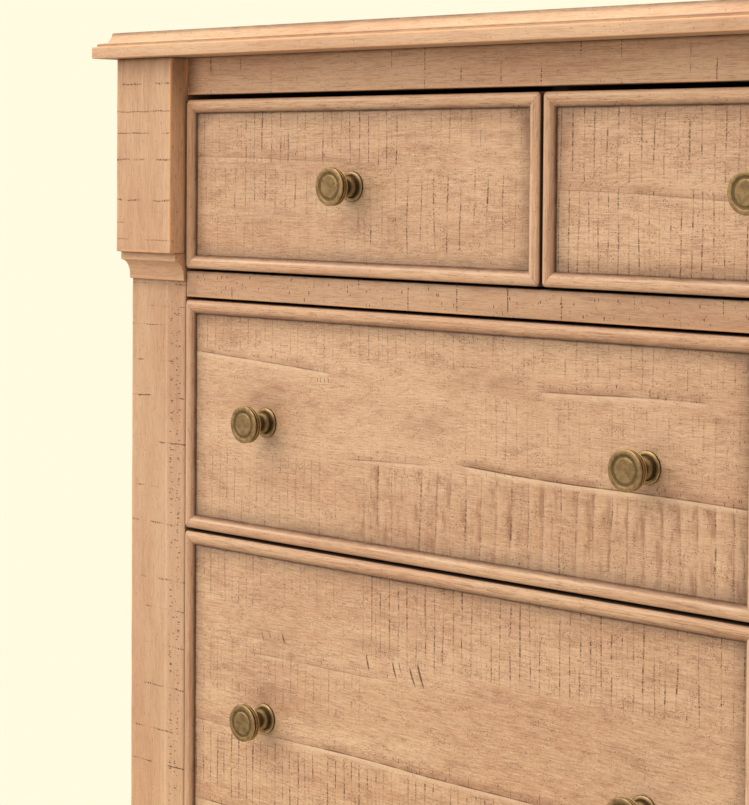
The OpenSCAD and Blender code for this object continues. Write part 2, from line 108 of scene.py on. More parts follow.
# World axes along the grain, across it and through the board
GRAIN_X = (0, 2, 1)
GRAIN_Y = (1, 2, 0)
GRAIN_Z = (2, 0, 1)
GRAIN_Z_SIDE = (2, 1, 0)
GRAIN_SPREAD = 3.0
# Edges that turn by more than this, in degrees, stay sharp
SMOOTH_ANGLE = 34.0


class Piece:
    """The points of one piece of the object, with the place of each in the grain of its board."""

    def __init__(self, seed):
        self.random = random.Random(seed)
        self.points = []
        self.faces = []
        self.wood = []
        self.marks = {name: [] for name in MARKS}
        self.new_board(GRAIN_X)

    def new_board(self, grain, plain=None):
        """Starts another board, cut from another place in the wood. plain holds its usual marks."""
        self.grain = grain
        self.plain = {**MARKS, **(plain or {})}
        self.offset = [self.random.uniform(0.0, GRAIN_SPREAD) for _ in range(3)]

    def add(self, point, marks=None):
        self.points.append(tuple(point))
        self.wood.append([point[axis] + shift for axis, shift in zip(self.grain, self.offset)])
        for name, plain in self.plain.items():
            self.marks[name].append((marks or {}).get(name, plain))
        return len(self.points) - 1

    def build(self, name, body, nodes, slot="glazed_wood", smooth_angle=SMOOTH_ANGLE):
        mesh = bpy.data.meshes.new(name)
        mesh.from_pydata(self.points, [], self.faces)
        for mark, values in self.marks.items():
            layer = mesh.attributes.new(mark, "FLOAT", "POINT")
            layer.data.foreach_set("value", values)
        layer = mesh.attributes.new("wood", "FLOAT_VECTOR", "POINT")
        layer.data.foreach_set("vector", [number for place in self.wood for number in place])
        shell = bmesh.new()
        shell.from_mesh(mesh)
        bmesh.ops.recalc_face_normals(shell, faces=shell.faces)
        shell.to_mesh(mesh)
        shell.free()
        mesh.shade_smooth()
        mesh.set_sharp_from_angle(angle=math.radians(smooth_angle))
        mesh.materials.append(MATERIALS[slot])
        made = add_object(name, mesh)
        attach(made, body)
        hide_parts(*nodes)


EDGE_RADIUS = 1.3 * MM
WEAR_BAND = 2.2 * MM
EDGE_WOBBLE = 0.35 * MM
WOBBLE_SIZE = 28.0 * MM
LONG_STEP = 60.0 * MM
# Share of the radius at which a rounded edge has a cut
ROUND_CUT = 0.42
# A board thinner than this many worn bands has none
THIN_BOARD = 2.5


def from_both(low, high, distances):
    """Places at these distances from both ends."""
    return [low + distance for distance in distances] + [high - distance for distance in distances]


def cuts_between(low, high, radius, extra, longest):
    """Places of the cuts along one side of a board, with none further apart than longest."""
    band = [0.0, ROUND_CUT * radius, radius, radius + WEAR_BAND]
    if high - low < THIN_BOARD * band[-1]:
        band = band[:3]
    inner = [place for place in extra if low + band[-1] < place < high - band[-1]]
    places = sorted({round(place, 7) for place in from_both(low, high, band) + inner})
    full = []
    for start, end in zip(places, places[1:]):
        count = max(1, math.ceil((end - start) / longest))
        full += [start + (end - start) * i / count for i in range(count)]
    return full + [places[-1]]


def board(piece, low, high, radius=EDGE_RADIUS, extra=((), (), ()), steps=(LONG_STEP,) * 3, marks=None):
    """A board with rounded, slightly worn edges. marks(point) gives the marks of a point."""
    cuts = [cuts_between(low[a], high[a], radius, extra[a], steps[a]) for a in range(3)]
    last = [len(c) - 1 for c in cuts]
    index = {}

    def corner(key):
        if key in index:
            return index[key]
        point = [cuts[a][key[a]] for a in range(3)]
        depths = sorted(min(point[a] - low[a], high[a] - point[a]) for a in range(3))
        rim = fall(depths[1] - radius, WEAR_BAND)
        found = {"wear": rim}
        if marks:
            found.update(marks(Vector(point)))
        core = Vector([min(max(point[a], low[a] + radius), high[a] - radius) for a in range(3)])
        out = Vector(point) - core
        place = core + out.normalized() * radius if out.length > 0 else Vector(point)
        if rim > 0:
            middle = (Vector(low) + Vector(high)) / 2
            inward = Vector([math.copysign(1.0, middle[a] - point[a]) if abs(out[a]) > 0 else 0.0
                             for a in range(3)])
            wobble = 0.5 + 0.5 * noise.noise(place / WOBBLE_SIZE + Vector(piece.offset))
            place += inward * (EDGE_WOBBLE * rim * max(0.0, wobble))
        index[key] = piece.add(place, found)
        return index[key]

    for a in range(3):
        b, c = (a + 1) % 3, (a + 2) % 3
        for side in (0, last[a]):
            for i in range(last[b]):
                for j in range(last[c]):
                    keys = []
                    for u, v in ((i, j), (i + 1, j), (i + 1, j + 1), (i, j + 1)):
                        key = [0, 0, 0]
                        key[a], key[b], key[c] = side, u, v
                        keys.append(corner(tuple(key)))
                    piece.faces.append(keys)


def arc(centre, radii, start, end, steps):
    """Points along part of an ellipse, from one angle to another in degrees."""
    angles = [math.radians(start + (end - start) * i / steps) for i in range(steps + 1)]
    return [(centre[0] + radii[0] * math.cos(a), centre[1] + radii[1] * math.sin(a)) for a in angles]


def join_rings(piece, rings):
    """Faces between each ring of points and the next. Where corners are one point, they count once."""
    count = len(rings[0])
    for first, second in zip(rings, rings[1:]):
        for i in range(count):
            after = (i + 1) % count
            face = list(dict.fromkeys([first[i], first[after], second[after], second[i]]))
            if len(face) > 2:
                piece.faces.append(face)


def strip(piece, place, length, outline, mitre, stations, wood, marks):
    """An outline of (inset, rise) drawn along a line. place(along, inset, rise) gives a point, mitre says how
    far an inset point stands back from both ends, and wood(along, inset, rise) is its place in the grain."""
    rings = []
    for share in stations:
        ring = []
        for i, (inset, rise) in enumerate(outline):
            along = mitre * inset + share * (length - 2 * mitre * inset)
            number = piece.add(place(along, inset, rise), marks(along, inset, rise, i))
            piece.wood[number] = [w + s for w, s in zip(wood(along, inset, rise), piece.offset)]
            ring.append(number)
        rings.append(ring)
    join_rings(piece, rings)
    piece.faces.append(rings[0])
    piece.faces.append(list(reversed(rings[-1])))


def lathe(piece, centre, outline, count, marks):
    """A turned solid from (radius, height) points, its axis pointing towards -Y from the centre."""
    rings = []
    for i, (radius, height) in enumerate(outline):
        if radius == 0:
            rings.append([piece.add((centre[0], centre[1] - height, centre[2]), marks[i])] * count)
            continue
        ring = []
        for k in range(count):
            turn = 2 * math.pi * k / count
            across, up = radius * math.cos(turn), radius * math.sin(turn)
            ring.append(piece.add((centre[0] + across, centre[1] - height, centre[2] + up), marks[i]))
        rings.append(ring)
    join_rings(piece, rings)


# Materials: numbers worked out by shader nodes, written as arithmetic

def operation(kind):
    """A method that makes a math node of this kind."""
    return lambda value, other=0.0: value.graph.calc(kind, value, other)


class Value:
    """One number or colour in a material."""

    def __init__(self, graph, socket):
        self.graph = graph
        self.socket = socket

    __add__ = __radd__ = operation("ADD")
    __mul__ = __rmul__ = operation("MULTIPLY")
    __sub__ = operation("SUBTRACT")
    __truediv__ = operation("DIVIDE")
    floor = operation("FLOOR")
    size = operation("ABSOLUTE")
    power = operation("POWER")
    most = operation("MAXIMUM")
    least = operation("MINIMUM")
    remainder = operation("FLOORED_MODULO")

    def __rsub__(self, other):
        return self.graph.calc("SUBTRACT", other, self)

    def ramp(self, low, high, start=0.0, end=1.0):
        """start below low, end above high, and a soft change between."""
        return self.graph.ramp(self, low, high, start, end)


class Graph:
    """The nodes of one material."""

    def __init__(self, name):
        self.material = bpy.data.materials.new(name)
        self.material.use_nodes = True
        self.tree = self.material.node_tree
        self.shader = self.tree.nodes["Principled BSDF"]

    def feed(self, socket, value):
        if isinstance(value, Value):
            self.tree.links.new(value.socket, socket)
        else:
            socket.default_value = value

    def make(self, kind, output, inputs, **settings):
        node = self.tree.nodes.new(kind)
        for key, value in settings.items():
            setattr(node, key, value)
        for key, value in inputs.items():
            self.feed(node.inputs[key], value)
        return Value(self, node.outputs[output])

    def calc(self, kind, first, second=0.0):
        return self.make("ShaderNodeMath", 0, {0: first, 1: second}, operation=kind)

    def ramp(self, value, low, high, start, end):
        return self.make("ShaderNodeMapRange", "Result",
                         {"Value": value, "From Min": low, "From Max": high, "To Min": start, "To Max": end},
                         interpolation_type="SMOOTHSTEP")

    def attribute(self, name, output="Fac"):
        return self.make("ShaderNodeAttribute", output, {}, attribute_name=name)

    def place(self):
        """Where a point is on the object at rest."""
        return self.make("ShaderNodeTexCoord", "Object", {})

    def split(self, vector):
        node = self.tree.nodes.new("ShaderNodeSeparateXYZ")
        self.feed(node.inputs[0], vector)
        return [Value(self, out) for out in node.outputs]

    def join(self, *numbers):
        return self.make("ShaderNodeCombineXYZ", 0, dict(enumerate(numbers)))

    def scaled(self, vector, size):
        """The vector in units of this size, in millimetres, along each axis."""
        shares = [1.0 / (length * MM) for length in size]
        return self.make("ShaderNodeVectorMath", 0, {0: vector, 1: shares}, operation="MULTIPLY")

    def noise(self, vector, size, detail=2.0, roughness=0.5, distortion=0.0):
        """Noise around 0.5 whose lumps have this size, in millimetres, along each axis of the vector."""
        return self.make("ShaderNodeTexNoise", "Fac",
                         {"Vector": self.scaled(vector, size), "Scale": 1.0, "Detail": detail,
                          "Roughness": roughness, "Distortion": distortion})

    def pair_noise(self, first, second, seed, detail=1.0, roughness=0.5):
        """Noise around 0.5 over a pair of plain numbers, with lumps of size 1."""
        return self.noise(self.join(first, second, seed), (1 / MM,) * 3, detail, roughness)

    def chance(self, first, second=0.0):
        """A random number from 0 to 1 for each pair of whole numbers."""
        return self.make("ShaderNodeTexWhiteNoise", "Value", {"Vector": self.join(first, second, 0.0)},
                         noise_dimensions="3D")

    def dots(self, vector, size, radius, density):
        """Dark dots, one in each cell of this size where chance allows it. radius is a share of the cell."""
        node = self.tree.nodes.new("ShaderNodeTexVoronoi")
        self.feed(node.inputs["Vector"], self.scaled(vector, size))
        node.inputs["Scale"].default_value = 1.0
        picked, wide, _ = self.split(Value(self, node.outputs["Color"]))
        present = self.calc("LESS_THAN", picked, density)
        from_middle = Value(self, node.outputs["Distance"]) / (radius * (0.6 + 0.5 * wide))
        return present * (1.0 - from_middle.ramp(0.5, 1.0))

    def paint(self, tone, *coats):
        """A colour under coats of (how much of it, colour), one over the other."""
        for amount, coat in coats:
            tone = self.make("ShaderNodeMix", 2, {0: amount, 6: tone, 7: coat}, data_type="RGBA")
        return tone

    def bump(self, height, distance, strength=1.0):
        """A normal from a height of 0 to 1 that stands for this distance."""
        return self.make("ShaderNodeBump", 0, {"Height": height, "Distance": distance, "Strength": strength})

    def finish(self, **sockets):
        """Feeds the shader and returns the material. A socket's name is written with _ for a space."""
        for key, value in sockets.items():
            self.feed(self.shader.inputs[key.replace("_", " ")], value)
        return self.material


def colour(red, green, blue):
    """A colour of the screen, 0 to 255, as the shader wants it."""
    parts = [c / 255.0 for c in (red, green, blue)]
    return tuple(p / 12.92 if p <= 0.04045 else ((p + 0.055) / 1.055) ** 2.4 for p in parts) + (1.0,)


HONEY = colour(219, 176, 137)
HONEY_PALE = colour(232, 193, 155)
HONEY_PINK = colour(205, 155, 120)
HONEY_BRIGHT = colour(246, 212, 176)
# Browns for smudges and painted shade, for dark pores and the painted shadow line along the ridges, and for
# glaze with painted shade; then saw marks, rubbed edges, and bare wood with painted highlight
SMUDGE_AND_SHADE = colour(156, 106, 76)
DARK_BROWN = colour(100, 66, 45)
DARK_GLAZE_AND_SHADE = colour(54, 36, 25)
SAW_DARK = colour(72, 42, 29)
RUBBED = colour(246, 184, 132)
BARE_AND_HIGHLIGHT = colour(254, 222, 190)

# Noises of the glazed wood: their size in millimetres along the grain, across it and through it, their detail
# and their roughness
WOOD_NOISES = {
    "cloud": ((240, 50, 60), 3.0, 0.55),
    "patch": ((36, 14, 20), 4.0, 0.66),
    "fibre": ((13, 0.9, 2), 2.0, 0.6),
    "streak": ((100, 2.4, 4), 4.0, 0.65),
    "weave": ((0.9, 8, 2), 2.0, 0.6),
    "grit": ((1.7, 1.2, 1.5), 2.0, 0.6),
    "hair": ((34, 1.1, 3), 3.0, 0.6),
    "cluster": ((24, 17, 20), 2.0, 0.6),
}
# How far the fibres wander across a board, over which lengths in millimetres
DRIFT = 9 * MM
DRIFT_SIZE = (220, 70, 200)
# Dots: the cells they lie in, in millimetres, and their radius as a share of a cell
SPECKS = ((2.0, 1.5, 3), 0.38)
PORES = ((6.0, 1.1, 3), 0.32)
TICKS = ((2.1, 6.0, 9), 0.42)


def saw_lines(g, number, across, spacing, thick, piece_length, seed, rare):
    """Lines across the grain where the running number is a whole number and a half: faint all along, and dark
    in pieces made of dots. rare is the share of lines that hardly show. Returns them with their cores."""
    line = number.floor()
    off = (number - line - 0.5).size() * spacing
    core = 1.0 - (off / thick).ramp(0.15, 1.0)
    share = g.chance(line, seed).ramp(rare, rare + 0.4, 0.15, 1.0)
    pieces = g.pair_noise(line * 3.7, across / piece_length, seed, 2.0, 0.6).ramp(0.43, 0.55)
    dots = g.pair_noise(line * 2.3, across / (2.0 * MM), seed + 0.5).ramp(0.44, 0.57)
    core = core * share
    return core * (0.11 + pieces * (0.20 + 0.69 * dots)), core


def crack_lines(g, beat, across, pitch, fibre):
    """Long cracks across the grain, one at each whole number and a half of beat. Most are rows of dots."""
    cut, row = g.attribute("cut"), g.attribute("row")
    line = beat.floor()
    shown = (g.pair_noise(line * 5.1, across / (24 * MM), 7.0) + row * 0.16).ramp(0.46, 0.60)
    dotted = g.pair_noise(across / (1.7 * MM), line, 2.0).ramp(0.42, 0.56)
    broken = g.chance(line, 8.0).ramp(0.25, 0.26).most(row)
    bend = g.pair_noise(line * 3.1, across / (16 * MM), 11.0, 2.0) - 0.5
    off = ((beat - line - 0.5) * pitch + bend * 2.4 * MM).size() + fibre * 0.3 * MM
    core = 1.0 - (off / (0.6 * MM + 0.65 * MM * dotted)).ramp(0.35, 1.0)
    return core * shown * cut * (1.0 - broken * (1.0 - dotted))


def glazed_wood():
    g = Graph("glazed_wood")
    raw = g.attribute("wood", "Vector")
    along, across, through = g.split(raw)
    drift = (g.noise(raw, DRIFT_SIZE, 1.0) - 0.5) * DRIFT
    wood = g.join(along, across + drift, through)
    speckled, streaked, saw, bold, pitch = (
        g.attribute(name) for name in ("speck", "streak", "saw", "bold", "pitch"))
    cloud, patch, fibre, streak, weave, grit, hair, crowd = (
        g.noise(wood, *settings) for settings in WOOD_NOISES.values())
    cluster = crowd.ramp(0.49, 0.63)
    rough = 0.3 + 0.7 * speckled

    # Mottled ground: broad clouds, smudges, and fibres along and across
    tone = g.paint(
        HONEY_PINK,
        (cloud.ramp(0.34, 0.64), HONEY_PALE),
        (0.5, HONEY),
        (patch.ramp(0.49, 0.72) * (0.10 + 0.24 * speckled), SMUDGE_AND_SHADE),
        (patch.ramp(0.48, 0.26) * 0.25, HONEY_PALE),
        (streak.ramp(0.52, 0.76) * (0.12 + 0.5 * streaked), SMUDGE_AND_SHADE),
        (streak.ramp(0.44, 0.24) * (0.15 + 0.4 * streaked), HONEY_PALE),
        (fibre.ramp(0.5, 0.72) * (0.20 + 0.30 * rough.most(streaked)), SMUDGE_AND_SHADE),
        (fibre.ramp(0.46, 0.28) * 0.5 * rough, HONEY_BRIGHT),
        (hair.ramp(0.53, 0.70) * (0.10 + 0.40 * (speckled * 0.55).most(streaked)), SMUDGE_AND_SHADE),
        (weave.ramp(0.5, 0.72) * (0.06 + 0.22 * saw) * rough * (0.35 + 0.65 * cluster), SMUDGE_AND_SHADE),
        (weave.ramp(0.46, 0.28) * 0.14 * saw, HONEY_BRIGHT),
        (grit.ramp(0.5, 0.72) * (0.24 + 0.35 * cluster) * rough, SMUDGE_AND_SHADE),
        (grit.ramp(0.46, 0.28) * 0.30 * rough, HONEY_BRIGHT),
        (g.attribute("stain"), SMUDGE_AND_SHADE))

    # Saw marks across the grain
    beat = g.attribute("beat")
    wander = g.pair_noise(beat * 0.8, across / (90 * MM), 3.0) - 0.5
    number = beat + wander * (1.0 - g.attribute("cut")) * 0.55
    main, main_core = saw_lines(g, number, across, pitch, 1.1 * MM + 0.5 * MM * bold, 26 * MM, 1.0, -0.1)
    half, half_core = saw_lines(g, number * 2.0 + 0.5, across, pitch * 0.5, 1.0 * MM, 11 * MM, 4.0, 0.58)
    fainter = bold * number.floor().remainder(3.0) * 0.36
    long_mark = crack_lines(g, beat, across, pitch, fibre)
    ticks = g.dots(wood, *TICKS, g.attribute("tick"))
    marks = (main * saw * (1.0 - fainter) * 0.92).most(half * saw * 0.55).most(long_mark * 0.92)
    marks = marks.most(ticks * 0.78)

    # Coarse saw marks stand in steps: pale beside each line and darker towards the next, as painted highlight
    # and painted shade of the steps
    slope = (number + 0.5).remainder(1.0)
    blotch = g.noise(wood, (30, 30, 1000), 2.0).ramp(0.36, 0.62)
    smear = g.noise(wood, (5, 26, 1000), 3.0, 0.6)
    tone = g.paint(
        tone,
        (slope.ramp(0.35, 1.0) * bold * blotch * smear.ramp(0.34, 0.6) * 0.45, SMUDGE_AND_SHADE),
        (smear.ramp(0.50, 0.70) * bold * 0.48, SMUDGE_AND_SHADE),
        (slope.ramp(0.5, 0.05) * bold * blotch * 0.30, HONEY_PALE))

    # Specks in clusters, more of them on the saw marks
    near_line = (main_core + half_core * 0.5) * saw
    density = speckled * (0.06 + (0.34 + 0.34 * saw) * cluster + 0.5 * near_line)
    specks = g.dots(wood, *SPECKS, density)
    pores = g.dots(wood, *PORES, 0.05 + 0.32 * speckled * patch)
    tone = g.paint(tone, (pores * 0.6, DARK_BROWN), (specks * 0.80, SAW_DARK), (marks, SAW_DARK))

    # Scraped ridges along the grain, with a dark line along each that is glaze and painted shadow
    height, ridge = g.attribute("seam"), g.attribute("ridge")
    ragged = g.noise(wood, (30, 8, 1000), 3.0)
    rim = 1.0 - (height.size() / (0.3 * MM + 1.1 * MM * ragged)).ramp(0.3, 1.0)
    above = height.ramp(-0.3 * MM, 0.3 * MM) * (1.0 - height.ramp(0.5 * MM, 10 * MM))
    below = (1.0 - height.ramp(-0.8 * MM, 0.0)) * height.ramp(-7 * MM, -1 * MM)
    tone = g.paint(
        tone,
        (above * ridge * ragged.ramp(0.30, 0.6, 0.4, 1.0) * 0.62, SMUDGE_AND_SHADE),
        (rim * ridge * ragged.ramp(0.36, 0.6, 0.3, 0.85), DARK_BROWN),
        (below * ridge * 0.5, HONEY_BRIGHT))

    # Glaze and painted shade in the corners and gaps, rubbed edges, bare wood and painted highlight, filled
    # cracks
    edge_noise = g.noise(wood, (17, 6, 6), 3.0, 0.6)
    darkening = (g.attribute("glaze") * (0.55 + 0.9 * edge_noise)).power(1.25).least(1.0)
    rubbed = g.attribute("wear") * g.noise(wood, (50, 12, 12), 3.0).ramp(0.34, 0.6, 0.2, 1.0)
    bare_and_highlight_share = g.attribute("pale") * g.noise(wood, (90, 20, 20), 3.0).ramp(0.30, 0.62, 0.35, 1.0)
    crack = g.attribute("crack")
    tone = g.paint(tone, (darkening * 0.88, DARK_GLAZE_AND_SHADE), (rubbed * 0.8, RUBBED), (bare_and_highlight_share, BARE_AND_HIGHLIGHT),
                   (crack.ramp(0.1, 0.7) * 0.85, SAW_DARK))

    # Relief, in metres
    dents = (marks + specks * 0.5 + pores * 0.3 + crack).least(1.0)
    waves = g.noise(wood, (120, 35, 50), 1.0)
    relief = waves * 0.7 * MM + streak * 0.10 * MM + (fibre + grit * rough) * 0.06 * MM
    relief = relief - slope * bold * 0.03 * MM - dents * 0.14 * MM
    relief = relief + height.ramp(-0.9 * MM, 0.9 * MM) * ridge * 0.3 * MM
    gloss = 0.50 + (streak - 0.5) * 0.16 + dents * 0.25 + darkening * 0.15
    return g.finish(Base_Color=tone, Roughness=gloss, Normal=g.bump(relief, 1.0), Specular_IOR_Level=0.35)


def plain_wood(name, light, dark, line, grain_size, gloss, speck_share=0.3, front_shade=0.0):
    """Smooth unglazed wood for inner parts. Its grain runs along X, and along Y on the faces towards X."""
    g = Graph(name)
    x, y, z = g.split(g.place())
    nx, ny, _ = g.split(g.make("ShaderNodeNewGeometry", "Normal", {}))
    wood = g.make("ShaderNodeMix", 1, {0: nx.size().ramp(0.5, 0.6), 4: g.join(x, z, y), 5: g.join(y, z, x)},
                  data_type="VECTOR")
    cloud = g.noise(wood, (400, 60, 400), 3.0)
    rings = g.noise(wood, grain_size, 4.0, 0.6, 0.4)
    hair = g.noise(wood, (30, 0.8, 2), 2.0)
    tone = g.paint(
        light,
        (rings.ramp(0.35, 0.65), dark),
        (cloud.ramp(0.4, 0.7) * 0.35, dark),
        (hair.ramp(0.56, 0.72) * speck_share, line),
        # Painted shade: the faces towards the front darken, as they lie in the gaps between the drawers
        ((ny * -1.0).ramp(0.6, 0.9) * front_shade, DARK_GLAZE_AND_SHADE))
    relief = g.bump(hair + rings, 0.12 * MM, 0.6)
    return g.finish(Base_Color=tone, Roughness=gloss + (hair - 0.5) * 0.2, Normal=relief)


def aged_brass():
    g = Graph("aged_brass")
    place = g.place()
    wear, glaze = g.attribute("wear"), g.attribute("glaze")
    mottle = g.noise(place, (5, 5, 5), 4.0, 0.65)
    fine = g.noise(place, (0.9, 0.9, 0.9), 2.0)
    patina_and_shade = colour(66, 52, 34)
    # Where glaze is marked, patina and painted shade; where wear is marked, rubbed brass and painted
    # highlight
    tone = g.paint(
        colour(128, 103, 70),
        (mottle.ramp(0.34, 0.66), colour(158, 130, 91)),
        (fine.ramp(0.5, 0.75) * 0.3, patina_and_shade),
        ((glaze * (0.7 + 0.6 * mottle)).least(1.0) * 0.85, patina_and_shade),
        (wear * mottle.ramp(0.3, 0.6, 0.3, 0.8), colour(200, 168, 118)))
    gloss = 0.54 + glaze * 0.16 - wear * 0.08 + (mottle - 0.5) * 0.2
    normal = g.bump(mottle + fine * 0.4, 0.10 * MM, 0.5)
    return g.finish(Base_Color=tone, Metallic=1.0, Roughness=gloss, Normal=normal)


def steel():
    g = Graph("zinc_steel")
    place = g.place()
    flow = g.noise(place, (0.4, 60, 0.4), 2.0)
    spangle = g.noise(place, (9, 14, 9), 2.0)
    tone = g.paint(
        colour(176, 178, 180),
        (spangle.ramp(0.35, 0.65), colour(206, 208, 208)),
        (flow.ramp(0.55, 0.8) * 0.3, colour(120, 121, 122)))
    gloss = 0.34 + (spangle - 0.5) * 0.2 + (flow - 0.5) * 0.12
    return g.finish(Base_Color=tone, Metallic=1.0, Roughness=gloss, Normal=g.bump(flow, 0.05 * MM, 0.4))


def plastic():
    g = Graph("glide_plastic")
    place = g.place()
    grain = g.noise(place, (0.8, 0.8, 0.8), 2.0)
    scuff = g.noise(place, (12, 12, 4), 3.0)
    tone = g.paint(colour(52, 47, 42), (scuff.ramp(0.45, 0.7), colour(84, 77, 69)))
    gloss = 0.5 + (scuff - 0.5) * 0.3
    return g.finish(Base_Color=tone, Roughness=gloss, Normal=g.bump(grain, 0.08 * MM, 0.5))


# The material of each slot that the record names
MATERIALS = {
    "glazed_wood": glazed_wood(),
    "drawer_wood": plain_wood("drawer_wood", colour(214, 178, 132), colour(188, 148, 102),
                              colour(120, 84, 52), (350, 7, 20), 0.46),
    # Boards inside the case, with painted shade on their faces towards the front
    "case_board": plain_wood("case_board", colour(168, 130, 92), colour(140, 104, 70),
                             colour(84, 58, 38), (300, 9, 20), 0.62, 0.45, 1.0),
    "aged_brass": aged_brass(),
    "slide_steel": steel(),
    "glide_plastic": plastic(),
}


# The case

top_low, top_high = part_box("top")
_, post_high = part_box("front_post_left")
capital_low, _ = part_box("capital_left")
_, plinth_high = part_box("plinth_left")


def uneven_places(seed, low, high, spacing):
    """Places from low to high, about this far apart."""
    pick = random.Random(seed)
    places = [low - spacing * pick.uniform(0.1, 0.9)]
    while places[-1] < high:
        places.append(places[-1] + spacing * pick.uniform(0.55, 1.45))
    return places


def running_number(places, value):
    """A number that grows along a line and is a whole number and a half at each of the places."""
    for i, (low, high) in enumerate(zip(places, places[1:])):
        if value <= high or i == len(places) - 2:
            return i + 0.5 + (value - low) / (high - low)


def cut_places(seed, low, high, spacing, known):
    """Where the long cracks of a board lie: the known ones in order, and others at random above and below."""
    if not known:
        return uneven_places(seed, low, high, spacing)
    near = known[0] - spacing * 0.4
    below = [place for place in uneven_places(seed, low, known[0], spacing) if place < near]
    above = [known[-1] + place - low for place in uneven_places(seed, low, high, spacing) if place > low]
    return below + list(known) + above


def marked(points, wear=0.0, glaze=0.0):
    """Points of a section, each with these amounts of rubbing and highlight, and of glazing and painted
    shade.
    """
    return [(point, wear, glaze) for point in points]


# Section of the edge of the top, as distance in and height
BAND_H = 12 * MM
SHOULDER_W = 3.7 * MM
STEP_H = 2.8 * MM
LEDGE = (7.5 * MM, 1.6 * MM)
COVE_W = 3.7 * MM
COVE_ANGLES = (-65.0, -25.0)
TOP_FILLET = 0.9 * MM
BAND_ROUND = 1.0 * MM
STEP_ROUND = 0.5 * MM
LEDGE_CUTS = 3
COVE_CUTS = 8
INNER_FLAT = 6 * MM
# Wear from which an edge of the top is uneven
UNEVEN_WEAR = 0.4
TOP_SMOOTH_ANGLE = 28.0
TOP_PLAIN = {"streak": 0.55, "speck": 0.12}


def top_section():
    """(inset, height) points of the top's edge from below, each with rubbing, glazing and painted shade."""
    thick = top_high[2] - top_low[2]
    step_top = BAND_H + STEP_H
    ledge_end = (SHOULDER_W + LEDGE[0], step_top + LEDGE[1])
    cove_top = thick - TOP_FILLET
    rounding = (BAND_ROUND, BAND_ROUND)
    step_middle = (SHOULDER_W + STEP_ROUND, step_top - STEP_ROUND)
    section = marked([(SHOULDER_W, 0.0)], glaze=0.3)
    section += marked(arc(rounding, rounding, 270, 180, 3), 0.6)
    section += marked([(0.0, 2.4 * MM), (0.0, BAND_H - 2.2 * MM)])
    section += marked(arc((BAND_ROUND, BAND_H - BAND_ROUND), rounding, 180, 90, 4), 1.0)
    section += [((SHOULDER_W - 0.8 * MM, BAND_H), 0.2, 0.3), ((SHOULDER_W, BAND_H), 0.0, 0.45),
                ((SHOULDER_W, BAND_H + 0.7 * MM), 0.2, 0.20), ((SHOULDER_W, step_top - 1.3 * MM), 0.0, 0.38)]
    section += marked(arc(step_middle, (STEP_ROUND, STEP_ROUND), 180, 100, 3), glaze=0.62)
    for i in range(1, LEDGE_CUTS + 1):
        share = i / LEDGE_CUTS
        point = (SHOULDER_W + LEDGE[0] * share, step_top + LEDGE[1] * share)
        section.append((point, 0.0, 0.15 * (1 - share)))
    start, end = (math.radians(angle) for angle in COVE_ANGLES)
    radii = (COVE_W / (math.cos(end) - math.cos(start)),
             (cove_top - ledge_end[1]) / (math.sin(end) - math.sin(start)))
    centre = (ledge_end[0] - radii[0] * math.cos(start), ledge_end[1] - radii[1] * math.sin(start))
    for i, point in enumerate(arc(centre, radii, *COVE_ANGLES, COVE_CUTS)):
        section.append((point, 0.0, 0.6 * smooth(i / COVE_CUTS, 0.66, 0.98)))
    fillet_middle = (ledge_end[0] + COVE_W + TOP_FILLET, cove_top)
    section += marked(arc(fillet_middle, (TOP_FILLET, TOP_FILLET), 180, 90, 3), glaze=0.7)
    return section + marked([(ledge_end[0] + COVE_W + INNER_FLAT, thick)])


def make_top():
    """The top: a flat board whose moulded edge runs along both ends and the front."""
    piece = Piece(11)
    piece.new_board(GRAIN_X, TOP_PLAIN)
    section = top_section()
    x0, y0, z0 = top_low
    x1, y1, _ = top_high
    count = int((y1 - y0) / LONG_STEP)
    wide_count = int((x1 - x0) / LONG_STEP)
    # Places along the edge, each with the way into the board from there
    path = [((x0, y0 + (y1 - y0) * i / count), (1.0, 1.0 if i == 0 else 0.0)) for i in range(count, -1, -1)]
    path += [((x0 + (x1 - x0) * i / wide_count, y0), (0.0, 1.0)) for i in range(1, wide_count)]
    path += [((x1, y0 + (y1 - y0) * i / count), (-1.0, 1.0 if i == 0 else 0.0)) for i in range(count + 1)]
    rings = []
    for (x, y), (dx, dy) in path:
        ring = []
        for (inset, height), wear, glaze in section:
            point = Vector((x + dx * inset, y + dy * inset, z0 + height))
            if wear > UNEVEN_WEAR:
                point += Vector((dx, dy, 0.0)) * (abs(noise.noise(point / WOBBLE_SIZE)) * EDGE_WOBBLE)
            ring.append(piece.add(point, {"wear": wear, "glaze": glaze}))
        rings.append(ring)
    for first, second in zip(rings, rings[1:]):
        for i in range(len(section) - 1):
            piece.faces.append([first[i], second[i], second[i + 1], first[i + 1]])
    piece.faces.append([ring[0] for ring in rings])
    piece.faces.append([ring[-1] for ring in reversed(rings)])
    piece.faces.append(rings[0] + list(reversed(rings[-1])))
    piece.build("top_moulded", "case", ["top"], smooth_angle=TOP_SMOOTH_ANGLE)


CAPITAL_H = 199 * MM
FILLET_H = 8.2 * MM
FILLET_PROUD = 14.6 * MM
FOOT_PROUD = 2.8 * MM
FOOT_H = 4.4 * MM
MOULDING_H = 28 * MM
MOULDING_ROUND = (1.0 * MM, 0.8 * MM)
MOULDING_STATIONS = (0.0, 0.02, 0.33, 0.66, 0.98, 1.0)
COVE_STEPS = 10
# Reach of the painted shade below the top, on a return below the top, and where a block meets its post
UNDER_TOP = 30 * MM
RETURN_TOP = 60 * MM
ROOT_REACH = 5 * MM
